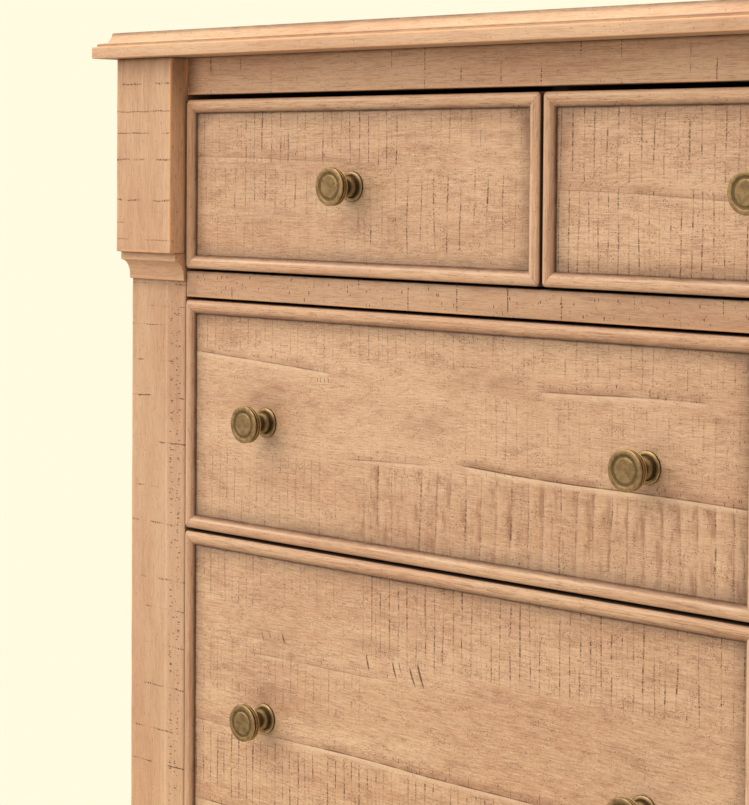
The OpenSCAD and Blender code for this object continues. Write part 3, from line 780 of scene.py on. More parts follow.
# Dark line of painted shade where a block or rail meets the top, and how dark it is on each
JOINT_LINE = 1.4 * MM
BLOCK_LINE = 0.65
RAIL_LINE = 0.6
BLOCK_PLAIN = {"streak": 0.45, "speck": 0.12, "cut": 1.0, "pitch": 26 * MM, "stain": 0.09}
# How far from the sides of a block its cracks are mostly rows of dots
ROW_REACH = 30 * MM
# Cracks that show across the left capital and the left post, as heights above the floor
CAPITAL_CRACKS = [z * MM for z in (736, 753, 776, 818, 845, 867, 895, 935)]
SHAFT_CRACKS = [z * MM for z in (193, 228, 274, 317, 355, 385, 443, 480, 527, 574, 611, 648)]


def moulding_section():
    """The moulding under a capital: distance out from the post, height below it, rubbing, glazing and painted
    shade.
    """
    cove = (FILLET_PROUD - FOOT_PROUD, MOULDING_H - FILLET_H - FOOT_H)
    corner = (FILLET_PROUD - MOULDING_ROUND[0], -FILLET_H + MOULDING_ROUND[1])
    section = [((0.0, 0.0), 0.0, 0.5), ((FILLET_PROUD - 0.5 * MM, 0.0), 0.0, 0.55),
               ((FILLET_PROUD, -0.5 * MM), 0.0, 0.5), ((FILLET_PROUD, -FILLET_H * 0.45), 0.0, 0.3),
               ((FILLET_PROUD, -FILLET_H + 1.9 * MM), 0.1, 0.1)]
    section += marked(arc(corner, MOULDING_ROUND, 0, -90, 3), 0.8)
    for i, point in enumerate(arc((FILLET_PROUD, -FILLET_H - cove[1]), cove, 105, 180, COVE_STEPS)):
        section.append((point, 0.15 * smooth(i, 0, 4), 0.18 * smooth(i, 6, COVE_STEPS)))
    return section + [((FOOT_PROUD, -MOULDING_H + 1.2 * MM), 0.6, 0.0),
                      ((FOOT_PROUD - 0.7 * MM, -MOULDING_H), 0.3, 0.2), ((0.0, -MOULDING_H), 0.0, 0.7)]


def make_block(side, kind):
    """A capital or plinth block with its moulding, on one side of the front."""
    low, high = corners(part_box(f"{kind}_{side}"))
    piece = Piece(f"{kind} {side}")
    y_post = high[1]
    capital = kind == "capital"
    if capital:
        start, end = Vector((low[0], low[1], high[2] - CAPITAL_H)), high
        seat, up = start[2], 1.0
    else:
        start, end = low, Vector((high[0], high[1], high[2] - MOULDING_H))
        seat, up = end[2], -1.0
    known = CAPITAL_CRACKS if (kind, side) == ("capital", "left") else ()
    cracks = cut_places(f"{kind} {side}", start[2], end[2], BLOCK_PLAIN["pitch"], known)

    def marks(point):
        found = {"beat": running_number(cracks, point[2])}
        below = high[2] - point[2] if capital else 1.0
        # The return is darkened towards the top and towards the post, and the front below the top, as painted
        # shade
        if point[1] > low[1] + 2 * EDGE_RADIUS:
            found["glaze"] = max(0.75 * fall(y_post - point[1], ROOT_REACH), 0.55 * fall(below, RETURN_TOP))
            found["stain"] = 0.12 * fall(y_post - point[1], 4 * ROOT_REACH)
            found["cut"] = 0.0
        else:
            found["glaze"] = 0.30 * fall(below, UNDER_TOP)
        if below < JOINT_LINE:
            found.update(glaze=BLOCK_LINE, wear=0.0)
        found["row"] = 0.15 + 0.75 * fall(min(point[0] - low[0], high[0] - point[0]), ROW_REACH)
        return found

    heights = [high[2] - UNDER_TOP * share for share in (0.25, 0.5, 1.0)] if capital else []
    depths = [y_post - ROOT_REACH, y_post - 0.5 * ROOT_REACH]
    widths = from_both(low[0], high[0], [0.5 * ROW_REACH, ROW_REACH])
    piece.new_board(GRAIN_Z, BLOCK_PLAIN)
    board(piece, start, end, extra=(widths, depths, heights + cracks), marks=marks)
    piece.new_board(GRAIN_X, {"streak": 0.8, "speck": 0.15})
    section = moulding_section()
    strip(piece, lambda along, out, rise: (low[0] + along, y_post - out, seat + up * rise), high[0] - low[0],
          [point for point, _, _ in section], 0, MOULDING_STATIONS,
          lambda along, out, rise: (low[0] + along, rise + out * 0.5, out),
          lambda along, out, rise, i: {"wear": section[i][1], "glaze": section[i][2]})
    piece.build(f"{kind}_block_{side}", "case", [f"{kind}_{side}"])


# The strip along the inner edge of a front post: two columns of dashes as (distance from that edge, reach,
# strength), a bare stripe as (distance, reach), and the stain of the strip and of the rest
TICK_COLUMNS = ((11.6 * MM, 5.5 * MM, 1.0), (21 * MM, 4.5 * MM, 0.7))
STRIPE = (29.5 * MM, 1.6 * MM)
STRIP_W = 27 * MM
STRIP_STAIN = 0.24
POST_STAIN = 0.13
# Reach of the darkening at the ends of a post and next to its blocks, and a cut of the mesh within it
POST_DARK_REACH = 14 * MM
SEAT_CUT = 4 * MM
POST_PLAIN = {"streak": 0.35, "speck": 0.15, "cut": 1.0, "pitch": 38 * MM}
POST_CRACK_SPACING = 40 * MM


def make_post(side, depth):
    """A front or back post."""
    node = f"{depth}_post_{side}"
    low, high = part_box(node)
    piece = Piece(node)
    seat_top = capital_low[2]
    seat_bottom = plinth_high[2]
    inner_x = high[0] if side == "left" else low[0]
    inward = -1.0 if side == "left" else 1.0
    frieze_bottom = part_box("frieze_rail")[0][2]
    known = SHAFT_CRACKS if node == "front_post_left" else ()
    cracks = cut_places(node, low[2], high[2], POST_CRACK_SPACING, known)

    def marks(point):
        found = {"beat": running_number(cracks, point[2])}
        if depth == "back":
            return {**found, "glaze": 0.45 * fall(high[2] - point[2], POST_DARK_REACH)}
        glaze = 0.5 * max(fall(seat_top - point[2], POST_DARK_REACH), fall(point[2] - seat_bottom, POST_DARK_REACH))
        # Darker on the inner side beside the drawers, and on the inner arris below the frieze, which isn't
        # rubbed there
        inside = abs(point[0] - inner_x)
        if point[1] > low[1] + EDGE_RADIUS and inside < 2 * EDGE_RADIUS:
            glaze = max(glaze, 0.7)
        if inside < 2 * EDGE_RADIUS and point[2] < frieze_bottom:
            found["wear"] = 0.0
            glaze = max(glaze, 0.3)
        found["glaze"] = glaze
        found["tick"] = max(dark * fall(abs(inside - middle), reach) for middle, reach, dark in TICK_COLUMNS)
        found["pale"] = 0.28 * fall(abs(inside - STRIPE[0]), STRIPE[1])
        found["stain"] = STRIP_STAIN if inside < STRIP_W else POST_STAIN
        return found

    heights = [high[2] - POST_DARK_REACH]
    across = []
    if depth == "front":
        for distance in (0.0, SEAT_CUT, POST_DARK_REACH):
            heights += [seat_top - distance, seat_bottom + distance]
        columns = [STRIPE] + [column[:2] for column in TICK_COLUMNS]
        distances = [STRIP_W] + [middle + turn * reach for middle, reach in columns for turn in (-1, 0, 1)]
        across = [inner_x + inward * distance for distance in distances]
    piece.new_board(GRAIN_Z, POST_PLAIN)
    board(piece, low, high, extra=(across, (), heights + cracks), marks=marks)
    piece.build(f"{node}_board", "case", [node])


# Reach of the darkening from the ends of a rail and of the painted shade below its top, and the rounding of
# its edges
RAIL_END = 24 * MM
RAIL_TOP = 10 * MM
RAIL_RADIUS = 0.9 * MM
RAIL_PLAIN = {"streak": 0.6, "speck": 0.4, "cut": 1.0, "pitch": 60 * MM, "tick": 0.10}
# Rails: the cracks that show, as places along X in millimetres, the seed of the others and where they begin,
# the darkening at both ends, the painted shade along the top, and the usual marks
RAILS = {
    "frieze_rail": ((-673, -629, -585, -548, -515, -470, -421, -379, -334, -286, -239, -195, -150), "frieze",
                    -110 * MM, 0.7, 0.2,
                    {"streak": 1.0, "speck": 0.3, "cut": 1.0, "pitch": 45 * MM, "stain": 0.12}),
    "mid_rail": ((-640, -584, -523, -462, -398, -337, -276, -214, -155), "mid rail",
                 -95 * MM, 0.45, 0.35, {**RAIL_PLAIN, "stain": 0.25}),
    "bottom_rail": ((), "bottom rail", post_high[0], 0.45, 0.35, {**RAIL_PLAIN, "stain": 0.1}),
}


def make_rail(node, shown, seed, start, end_glaze, top_glaze, plain):
    """A rail between the front posts."""
    low, high = corners(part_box(node))
    low[0], high[0] = post_high[0], -post_high[0]
    cracks = [x * MM for x in shown] + uneven_places(seed, start, -post_high[0], plain["pitch"])
    piece = Piece(node)
    piece.new_board(GRAIN_X, plain)

    def marks(point):
        glaze = end_glaze * fall(min(point[0] - low[0], high[0] - point[0]), RAIL_END)
        glaze = max(glaze, top_glaze * fall(high[2] - point[2], RAIL_TOP))
        found = {"glaze": glaze, "beat": running_number(cracks, point[0])}
        if high[2] - point[2] < JOINT_LINE:
            found.update(glaze=RAIL_LINE, wear=0.0)
        return found

    ends = from_both(low[0], high[0], [RAIL_END * share for share in (0.2, 0.5, 1.0)])
    heights = [high[2] - RAIL_TOP, high[2] - RAIL_TOP / 2]
    board(piece, low, high, RAIL_RADIUS, (ends + cracks, (), heights), marks=marks)
    piece.build(f"{node}_board", "case", [node])


# How far the glaze reaches from the ends of a side rail, and how far apart its cracks are
SIDE_REACH = 12 * MM
SIDE_PITCH = 40 * MM
# Distances of the cuts of a side panel from its frame, of which the third and the last are also reaches of
# its glaze, and its steps
SIDE_LINES = [0.0, 1.5 * MM, 3 * MM, 7 * MM, 14 * MM]
SIDE_STEPS = (1.0, 30 * MM, 30 * MM)


def make_side(side):
    """The frame and the sunk panel of one side of the case."""
    low, high = corners(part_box(f"side_rails_{side}"))
    y0, y1 = post_high[1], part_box(f"back_post_{side}")[0][1]
    panel_low, panel_high = corners(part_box(f"side_panel_{side}"))
    tongue = y0 - panel_low[1]
    lower_top = panel_low[2] + tongue
    upper_bottom = panel_high[2] - tongue
    noise_seed = -7.0 if side == "left" else 7.0
    rails = Piece(f"side rails {side}")

    def rail_marks(point):
        from_end = min(point[1] - y0, y1 - point[1])
        return {"beat": point[1] / SIDE_PITCH, "glaze": 0.5 * fall(from_end, SIDE_REACH)}

    for z0, z1 in ((low[2], lower_top), (upper_bottom, high[2])):
        rails.new_board(GRAIN_Y, {"cut": 0.8, "pitch": SIDE_PITCH})
        board(rails, (low[0], y0, z0), (high[0], y1, z1), marks=rail_marks)
    rails.build(f"side_rails_{side}_boards", "case", [f"side_rails_{side}"])

    panel = Piece(f"side panel {side}")
    panel.new_board(GRAIN_Z_SIDE, {"speck": 0.7})

    def panel_marks(point):
        inside = min(point[1] - y0, y1 - point[1], point[2] - lower_top, upper_bottom - point[2])
        band = smooth(noise.noise(Vector((point[1] * 4, point[2] * 2.2, noise_seed))), -0.15, 0.25)
        glaze = max(0.9 * fall(inside, SIDE_LINES[2]), 0.4 * fall(inside, SIDE_LINES[-1]))
        glaze = 1.0 if inside < 0 else glaze
        return {"saw": 0.15 + 0.75 * band, "beat": point[2] / MARKS["pitch"], "glaze": glaze}

    extra = ((), from_both(y0, y1, SIDE_LINES), from_both(lower_top, upper_bottom, SIDE_LINES))
    board(panel, panel_low, panel_high, extra=extra, steps=SIDE_STEPS, marks=panel_marks)
    panel.build(f"side_panel_{side}_board", "case", [f"side_panel_{side}"])


make_top()
for side in ("left", "right"):
    make_block(side, "capital")
    make_block(side, "plinth")
    make_post(side, "front")
    make_post(side, "back")
    make_side(side)
for node, look in RAILS.items():
    make_rail(node, *look)


# The drawers

# Section of a bead, the rounding of the outer corners of its frame, and the dark line of its mitres
BEAD_W = 13.5 * MM
BEAD_CREST = 5.0 * MM
BEAD_H = 4.2 * MM
BEAD_EDGE = 1.8 * MM
BEAD_FOOT = 0.9 * MM
BEAD_OUTER_CUTS = 8
BEAD_INNER_CUTS = 9
BEAD_CORNER = 4.0 * MM
CORNER_CUTS = 4
MITRE_LINE = 0.5 * MM
BEAD_SMOOTH_ANGLE = 40.0
BEAD_PLAIN = {"streak": 1.45, "speck": 0.3}
# The lower, upper, left and right bead, each shaded and lit as the light falls on its side: stain with
# painted shade, the bright line, a painted highlight, as (inset, reach, strength), and how dark and how wide
# the painted shade lies on the inner slope
BEAD_LOOKS = (
    (0.13, (9.2 * MM, 1.9 * MM, 0.6), (0.45, 4.2 * MM)),
    (0.04, (3.4 * MM, 1.6 * MM, 0.4), (0.42, 6.0 * MM)),
    (0.32, (2.2 * MM, 2.4 * MM, 0.42), (0.50, 6.5 * MM)),
    (0.12, (10.0 * MM, 2.6 * MM, 0.5), (0.10, 3.0 * MM)),
)
# Painted shade for the faces inside the gaps, more than the colour can take, so that its noise can't thin it
# out
GAP_SHADE = 1.8


def bead_section():
    """Section of the bead as (inset, rise), from its outer edge over the crest to its inner edge."""
    outer = arc((BEAD_CREST, BEAD_EDGE), (BEAD_CREST, BEAD_H - BEAD_EDGE), 180, 90, BEAD_OUTER_CUTS)
    inner = arc((BEAD_CREST, BEAD_FOOT), (BEAD_W - BEAD_CREST, BEAD_H - BEAD_FOOT), 90, 0, BEAD_INNER_CUTS)
    return [(0.0, 0.0), (0.0, BEAD_EDGE * 0.6)] + outer + inner[1:] + [(BEAD_W, 0.0)]


def bead_marks(inset, stain, highlight_line, slope_shade):
    """Marks of a bead at this distance in from its outer edge, from its looks."""
    dark, width = slope_shade
    # The gap side and the inner slope carry painted shade, the inner foot glaze with painted shadow, and the
    # pale line along the crest is a painted highlight
    slope = smooth(inset, BEAD_W - width, BEAD_W - 0.3 * width)
    glaze = max(fall(inset, 1.0 * MM), 0.75 * smooth(inset, BEAD_W - 2.6 * MM, BEAD_W), 0.5 * dark * slope)
    if inset == 0.0:
        glaze = GAP_SHADE
    middle, reach, strength = highlight_line
    bead_shade = 0.24 * fall(inset, BEAD_CREST * 0.9) + dark * slope
    return {"wear": 0.25 * fall(abs(inset - BEAD_CREST), BEAD_CREST), "glaze": glaze,
            "stain": min(0.6, stain + bead_shade), "pale": strength * fall(abs(inset - middle), reach)}


def round_corner(along, inset, length):
    """The same place on a bead whose frame has rounded outer corners."""
    near = min(along, length - along) - inset
    if near >= BEAD_CORNER:
        return along, inset
    angle = math.radians(45) * (1 - near / BEAD_CORNER)
    share = fall(inset, BEAD_CREST)
    shift = share * (BEAD_CORNER * (1 - math.sin(angle)) - near)
    along += shift if along < length / 2 else -shift
    return along, inset + share * BEAD_CORNER * (1 - math.cos(angle))


def make_beads(name, low, high):
    """The four mitred beads around a front, whose crest stands at low Y."""
    piece = Piece(f"beads {name}")
    outline = bead_section()
    y = low[1] + BEAD_H
    wide, tall = high[0] - low[0], high[2] - low[2]

    def run(length, place, look):
        piece.new_board(GRAIN_X, BEAD_PLAIN)
        count = max(2, int(length / (2 * LONG_STEP)))
        ends = [0.0, MITRE_LINE / length]
        ends += [BEAD_CORNER * i / CORNER_CUTS / length for i in range(1, CORNER_CUTS + 1)]
        stations = ends + [i / count for i in range(1, count)] + [1 - share for share in reversed(ends)]

        def rounded(along, inset, rise):
            return place(*round_corner(along, inset, length), rise)

        def marks(along, inset, rise, i):
            found = bead_marks(inset, *look)
            cut = 1.0 - smooth(min(along, length - along) - inset, 0.0, 2.0 * MITRE_LINE)
            found["glaze"] = max(found["glaze"], 0.5 * cut)
            return found

        strip(piece, rounded, length, outline, 1, stations,
              lambda along, inset, rise: (along, inset + rise, rise), marks)

    places = (lambda along, inset, rise: (low[0] + along, y - rise, low[2] + inset),
              lambda along, inset, rise: (low[0] + along, y - rise, high[2] - inset),
              lambda along, inset, rise: (low[0] + inset, y - rise, low[2] + along),
              lambda along, inset, rise: (high[0] - inset, y - rise, low[2] + along))
    for length, place, look in zip((wide, wide, tall, tall), places, BEAD_LOOKS):
        run(length, place, look)
    piece.build(f"{name}_bead_frame", name, [f"{name}_beads"], smooth_angle=BEAD_SMOOTH_ANGLE)


# The fronts that the photo shows, in millimetres from the lower left corner of each.
# ridges: (height at the left end, height at the right end, from, to, strength), where no two overlap closely
# bands: (lower, upper, from, to, saw, bold, pitch); cracks: (x, z, x, z, half their width) from end to end
# blots: (x, z, reach along X, reach along Z, strength)
FRONT_STYLE = {
    "drawer_top_left": {
        "ridges": [(112, 108, 0, 230, 0.35)],
        "bands": [(108, 171, 80, 300, 1.0, 0.0, 12.1), (108, 171, 0, 60, 0.5, 0.0, 10.0),
                  (130, 171, 330, 469, 0.55, 0.0, 12.1), (62, 100, 20, 240, 0.75, 0.0, 14.5),
                  (0, 56, 0, 150, 0.3, 0.0, 13.0), (31, 92, 250, 469, 1.0, 0.0, 16.5)],
        "cracks": [],
        "blots": [(110, 90, 180, 110, 0.20), (448, 140, 26, 34, 0.55), (452, 70, 14, 60, 0.3),
                  (30, 120, 26, 44, 0.3), (300, 44, 90, 12, 0.22)],
    },
    "drawer_top_centre": {
        "ridges": [(84, 70, 0, 469, 0.4)],
        "bands": [(92, 171, 0, 300, 0.8, 0.0, 12.5), (0, 84, 0, 230, 0.9, 0.0, 11.0),
                  (30, 171, 320, 469, 0.7, 0.0, 14.0)],
        "cracks": [],
        "blots": [(22, 140, 22, 30, 0.5)],
    },
    "drawer_middle_left": {
        "ridges": [(181, 169, 0, 210, 0.7), (98, 90, 370, 706, 1.0), (172, 174, 460, 655, 0.8),
                   (88, 95, 228, 340, 0.45)],
        "bands": [(190, 232, 0, 706, 0.5, 0.0, 12.0), (110, 160, 400, 706, 0.4, 0.0, 12.0),
                  (8, 84, 262, 706, 0.8, 1.0, 18.5), (8, 80, 0, 200, 0.45, 0.1, 11.0)],
        "cracks": [(189.0, 165, 190, 161, 0.6), (193, 166, 194, 160.5, 0.5), (198, 166, 200, 160, 0.6),
                   (203.5, 167, 204.5, 161, 0.5)],
        "blots": [(120, 140, 50, 26, 0.35), (330, 130, 60, 22, 0.3), (420, 176, 70, 16, 0.3),
                  (60, 200, 50, 22, 0.25)],
    },
    "drawer_bottom_left": {
        "ridges": [(158, 155, 0, 706, 1.0), (76, 77, 0, 706, 0.9), (236, 240, 80, 420, 0.35)],
        "bands": [(286, 348, 0, 100, 0.55, 0.0, 10.5), (300, 348, 150, 230, 0.3, 0.0, 11.5),
                  (262, 348, 270, 706, 0.95, 0.0, 11.5), (92, 148, 0, 706, 1.0, 0.1, 10.6),
                  (196, 240, 0, 240, 0.5, 0.0, 10.6), (0, 68, 0, 706, 0.6, 0.3, 16.0)],
        "cracks": [(113, 259, 116, 250, 0.6), (123, 260, 127, 252.5, 0.6), (142, 261, 146, 252, 1.0),
                   (257.4, 258.5, 261, 244.5, 1.2), (291.8, 257, 296.7, 241.6, 1.25),
                   (299.8, 258, 303, 248, 0.6), (314, 254.5, 321, 238.2, 1.15), (324, 260, 332, 238, 1.45)],
        "blots": [(130, 252, 60, 16, 0.3), (270, 268, 60, 14, 0.3), (130, 196, 70, 22, 0.25)],
    },
}
# Thickness of a front, and of the board of the box behind it
FRONT_T = 19 * MM
BOX_T = 12 * MM
# Rounding of a panel and its steps
PANEL_RADIUS = 0.5 * MM
PANEL_STEPS = (11 * MM, 1.0, 5 * MM)
# Distances of the cuts of a panel from its beads, for the glaze and painted shadow there
PANEL_LINES = [BEAD_W + distance * MM for distance in (0.0, 1.0, 2.0, 3.0, 4.5, 8.0, 12.0, 16.0, 26.0, 30.0)]
# How far the glaze and the painted shadow of the beads reach from the left, right, lower and upper bead of a
# front, how far they thin out along the beads, around the corners and in the corners, and how far the stain
# does
DARKENING_REACH = (3.6 * MM, 2.2 * MM, 2.4 * MM, 3.8 * MM)
SOFT_REACH = 16 * MM
CORNER_REACH = 26 * MM
NOOK_REACH = 7 * MM
STAIN_REACH = 30 * MM
# How far a ridge waves up and down, between which distances from it its marks fade, and the height of front,
# in millimetres, that each has where they are drawn at random
RIDGE_WAVE = 3.0 * MM
RIDGE_REACH = (11 * MM, 17 * MM)
RIDGE_SPACING = 90
# Height of the short saw marks that stand on a ridge
TEETH = 12 * MM
# How far a band of saw marks fades above and below, and at its ends
BAND_SOFT = 9 * MM
BAND_END = 40 * MM
# How much wider a short crack is at its middle than its given width, how it bends, how uneven its width is,
# and the cuts of the mesh that it needs, in millimetres
CRACK_SWELL = 1.5
CRACK_BEND = 1.3
CRACK_RAGGED = 0.9
CRACK_STEP = (0.6, 1.6)


def chosen_style(name, tall, wide):
    """The ridges, bands, cracks and blots of a front that the style table doesn't name, drawn at random."""
    pick = random.Random(name)
    tall, wide = tall / MM, wide / MM
    rows = max(1, int(tall / RIDGE_SPACING))
    style = {"ridges": [], "bands": [], "cracks": [], "blots": []}
    for i in range(rows):
        middle = tall * (i + pick.uniform(0.4, 0.6)) / rows
        lean = pick.uniform(-6, 6)
        start = wide * pick.choice((0.0, 0.0, 0.3))
        style["ridges"].append((middle + lean, middle - lean, start, wide * pick.uniform(0.7, 1.0),
                                pick.uniform(0.4, 1.0)))
    edges = [0.0] + [(left + right) / 2 for left, right, _, _, _ in style["ridges"]] + [tall]
    for low, high in zip(edges, edges[1:]):
        start = wide * pick.choice((0.0, 0.0, 0.25))
        style["bands"].append((low, high - pick.uniform(8, 30), start, wide, pick.uniform(0.5, 1.0),
                               pick.choice((0.0, 0.2, 0.9)), pick.uniform(11, 19)))
    for _ in range(pick.randint(1, 4)):
        x, z = pick.uniform(0.2, 0.8) * wide, pick.uniform(0.3, 0.8) * tall
        style["cracks"].append((x, z, x + pick.uniform(1, 6), z - pick.uniform(8, 16),
                                pick.uniform(0.6, 1.3)))
    for _ in range(rows + 1):
        style["blots"].append((pick.uniform(0.1, 0.9) * wide, pick.uniform(0.2, 0.9) * tall,
                               pick.uniform(30, 80), pick.uniform(14, 30), pick.uniform(0.2, 0.4)))
    return style


def seam_marks(style, x, z, seed):
    """Height above the scraped ridge of a front that is strongest here, and its strength."""
    found = {"seam": MARKS["seam"], "ridge": 0.0}
    for number, (left, right, start, end, strength) in enumerate(style["ridges"]):
        share = (x - start * MM) / ((end - start) * MM)
        wave = noise.noise(Vector((x * 6.0, seed + number * 3.1, 0.0))) * RIDGE_WAVE
        gap = z - (left + (right - left) * share) * MM - wave
        ends = smooth(share, -0.02, 0.08) * (1.0 - smooth(share, 0.92, 1.02))
        broken = smooth(noise.noise(Vector((x * 4.0, seed, number * 5.0))), -0.5, 0.0)
        here = strength * ends * broken * (1.0 - smooth(abs(gap), *RIDGE_REACH))
        if here > found["ridge"]:
            found = {"seam": gap, "ridge": here}
    return found


def within(value, low, high, soft):
    """1 from low to high in millimetres, and a soft fall beyond both."""
    return smooth(value, low * MM - soft, low * MM) * (1 - smooth(value, high * MM, high * MM + soft))


def saw_marks(style, x, z):
    """The marks of the band of saw marks that is strongest at this place, weaker where two bands meet."""
    shares = []
    for z0, z1, x0, x1, saw, bold, pitch in style["bands"]:
        inside = within(z, z0, z1, BAND_SOFT) * within(x, x0, x1, BAND_END)
        shares.append((saw * inside, bold * inside, pitch * MM, x0))
    shares.sort(reverse=True)
    saw, bold, pitch, start = shares[0]
    if len(shares) > 1 and saw > 0:
        saw, bold = saw - shares[1][0], bold * (1 - shares[1][0] / saw)
    return {"saw": saw, "bold": bold, "pitch": pitch, "beat": (x - start * MM) / pitch}


def crack_mark(style, x, z):
    """How deep this place of a front lies in one of its short filled cracks, which taper to both ends."""
    deepest = 0.0
    for x0, z0, x1, z1, reach in style["cracks"]:
        share = min(1.0, max(0.0, (z / MM - z0) / (z1 - z0)))
        middle = x0 + (x1 - x0) * share ** CRACK_BEND
        beyond = max(0.0, abs(z / MM - (z0 + z1) / 2) - abs(z1 - z0) / 2)
        ragged = 1.0 + CRACK_RAGGED * noise.noise(Vector((x0, z / (2.5 * MM), 0.0)))
        width = reach * (0.5 + (CRACK_SWELL - 0.5) * math.sin(math.pi * share)) * ragged
        deepest = max(deepest, fall(math.hypot(x / MM - middle, beyond), width))
    return deepest


def crack_cuts(style):
    """Places of the extra cuts of a front, along X and Z, that its short cracks need, on one grid."""
    cuts = (set(), set())
    for x0, z0, x1, z1, reach in style["cracks"]:
        spans = ((min(x0, x1) - reach, max(x0, x1) + reach), (min(z0, z1), max(z0, z1)))
        for found, (low, high), step in zip(cuts, spans, CRACK_STEP):
            found.update(range(math.floor(low / step), math.ceil(high / step) + 1))
    return [[number * step * MM for number in sorted(found)] for found, step in zip(cuts, CRACK_STEP)]


def blot_mark(style, x, z):
    """How much a soft brown blot darkens this place of a front."""
    found = 0.0
    for x0, z0, wide, tall, strength in style["blots"]:
        away = math.hypot((x / MM - x0) / wide, (z / MM - z0) / tall)
        away += 0.7 * noise.noise(Vector((x / (14 * MM), z / (9 * MM), x0)))
        found = max(found, strength * (1.0 - smooth(away, 0.0, 1.0)))
    return found


def make_front(name, low, high):
    """The panel of a drawer front, with its saw marks, scraped ridges, and glazing with painted shadow along
    its beads.
    """
    tall, wide = high[2] - low[2], high[0] - low[0]
    style = FRONT_STYLE.get(name) or chosen_style(name, tall, wide)
    piece = Piece(f"front {name}")
    piece.new_board(GRAIN_X, {"speck": 1.0})
    seed = random.Random(f"wave {name}").uniform(0, 50)

    def marks(point):
        # The edges and back of the front lie in the gaps and are painted dark as shade
        if point[1] > low[1] + EDGE_RADIUS:
            return {"glaze": 0.4 + GAP_SHADE * fall(point[1] - low[1], FRONT_T), "speck": 0.2}
        x, z = point[0] - low[0], point[2] - low[2]
        edges = [distance - BEAD_W for distance in (x, wide - x, z, tall - z)]
        inside, corner = sorted(edges)[:2]
        found = {**seam_marks(style, x, z, seed), **saw_marks(style, x, z)}
        teeth = fall(found["seam"], TEETH) if found["seam"] > 0 else 0.0
        found["saw"] = max(found["saw"], teeth * found["ridge"])
        found["tick"] = 0.45 * smooth(teeth, 0.3, 0.7) * found["ridge"]
        darkening = max(fall(distance, reach) for distance, reach in zip(edges, DARKENING_REACH))
        soft = 0.50 * fall(inside, SOFT_REACH) + 0.30 * fall(corner, CORNER_REACH)
        found["glaze"] = 1.0 if inside <= 0 else max(darkening, soft, 1.1 * fall(corner, NOOK_REACH))
        found["stain"] = max(0.15 * fall(inside, STAIN_REACH), blot_mark(style, x, z))
        found["wear"] = 0.0
        found["crack"] = crack_mark(style, x, z)
        return found

    xs, zs = crack_cuts(style)
    extra = (from_both(low[0], high[0], PANEL_LINES) + [low[0] + x for x in xs], (),
             from_both(low[2], high[2], PANEL_LINES) + [low[2] + z for z in zs])
    board(piece, low, high, PANEL_RADIUS, extra, PANEL_STEPS, marks)
    piece.build(f"{name}_panel", name, [f"{name}_front"])


# Roundings of a knob, as middle and radii: its base, its neck, the rim behind the head, the ring behind the
# face, and the edge of the face with the hollow behind it
BASE = ((11.9, 0.9), (2.85, 1.9))
NECK = ((6.0, 6.3), (4.3, 3.5))
RIM = ((17.4, 24.35), (0.7, 0.6))
RING = ((16.3, 26.6), (1.5, 1.5))
HOLLOW = ((17.2, 30.3), (1.0, 0.9))
FACE_EDGE = ((17.2, 30.3), (1.0, 1.0))
# A knob from its base to its face: points as (radius, height above the panel) in millimetres, wear and glaze.
# The wear is rubbed brass with painted highlight on raised rings and edges, the glaze patina with painted
# shade in the grooves and on the side of the base
KNOB = (
    ([(0.0, 0.0), (14.6, 0.0), (14.75, 0.3), (14.75, 0.7)], 0.0, 1.0),
    (arc(*BASE, 4, 14, 2), 0.0, 0.9),
    (arc(*BASE, 26, 66, 4), 0.75, 0.0),
    (arc(*BASE, 78, 100, 2), 0.35, 0.0),
    ([(10.9, 2.55), (10.5, 2.35)], 0.0, 0.6),
    ([(10.3, 2.45), (10.0, 2.8), (9.4, 3.1)], 0.0, 1.0),
    (arc(*NECK, -50, -25, 3), 0.0, 0.8),
    (arc(*NECK, -12, 60, 6), 0.25, 0.25),
    (arc(*NECK, 72, 90, 2), 0.0, 0.6),
    ([(5.8, 11.0), (5.8, 14.0), (6.1, 17.0), (7.2, 19.3), (9.6, 21.2), (12.4, 22.6), (14.9, 23.4)], 0.0, 0.7),
    ([(16.6, 23.7), (17.3, 23.75)], 0.0, 0.5),
    (arc(*RIM, -90, 60, 5), 1.0, 0.0),
    ([(17.3, 25.0), (17.2, 25.2)], 0.0, 1.0),
    (arc(*RING, -60, 45, 6), 0.35, 0.15),
    (arc(*RING, 55, 72, 2), 0.0, 1.0),
    ([(15.9, 28.3), (15.6, 28.8), (15.9, 29.3)], 0.0, 1.0),
    (arc(*HOLLOW, -100, -55, 3), 0.0, 1.0),
    (arc(*HOLLOW, -40, -15, 2), 0.2, 0.3),
    (arc(*FACE_EDGE, 0, 70, 4), 0.75, 0.0),
    ([(17.2, 31.35), (16.6, 31.45)], 0.35, 0.0),
    ([(15.2, 31.5), (14.3, 31.45), (13.9, 31.25)], 0.2, 0.0),
    ([(13.5, 30.95), (13.1, 30.85), (11.6, 30.8), (11.2, 30.85)], 0.0, 0.45),
    ([(10.9, 31.1), (10.6, 31.3)], 0.35, 0.0),
    ([(10.0, 31.4), (9.0, 31.4)], 0.2, 0.0),
    ([(6.0, 31.3), (3.0, 31.22), (0.0, 31.2)], 0.1, 0.0),
)
# The pan head of the screw inside the drawer, as radius and height from its seat towards the room of the box
SCREW = ([(0.0, 0.0), (3.9, 0.0), (4.0, 0.3)] + arc((1.5, 0.6), (2.5, 2.1), 0, 82, 6)
         + [(1.5, 2.7), (1.3, 1.5), (0.0, 1.1)])
KNOB_SIDES = 72
SCREW_SIDES = 32
KNOB_SMOOTH_ANGLE = 50.0


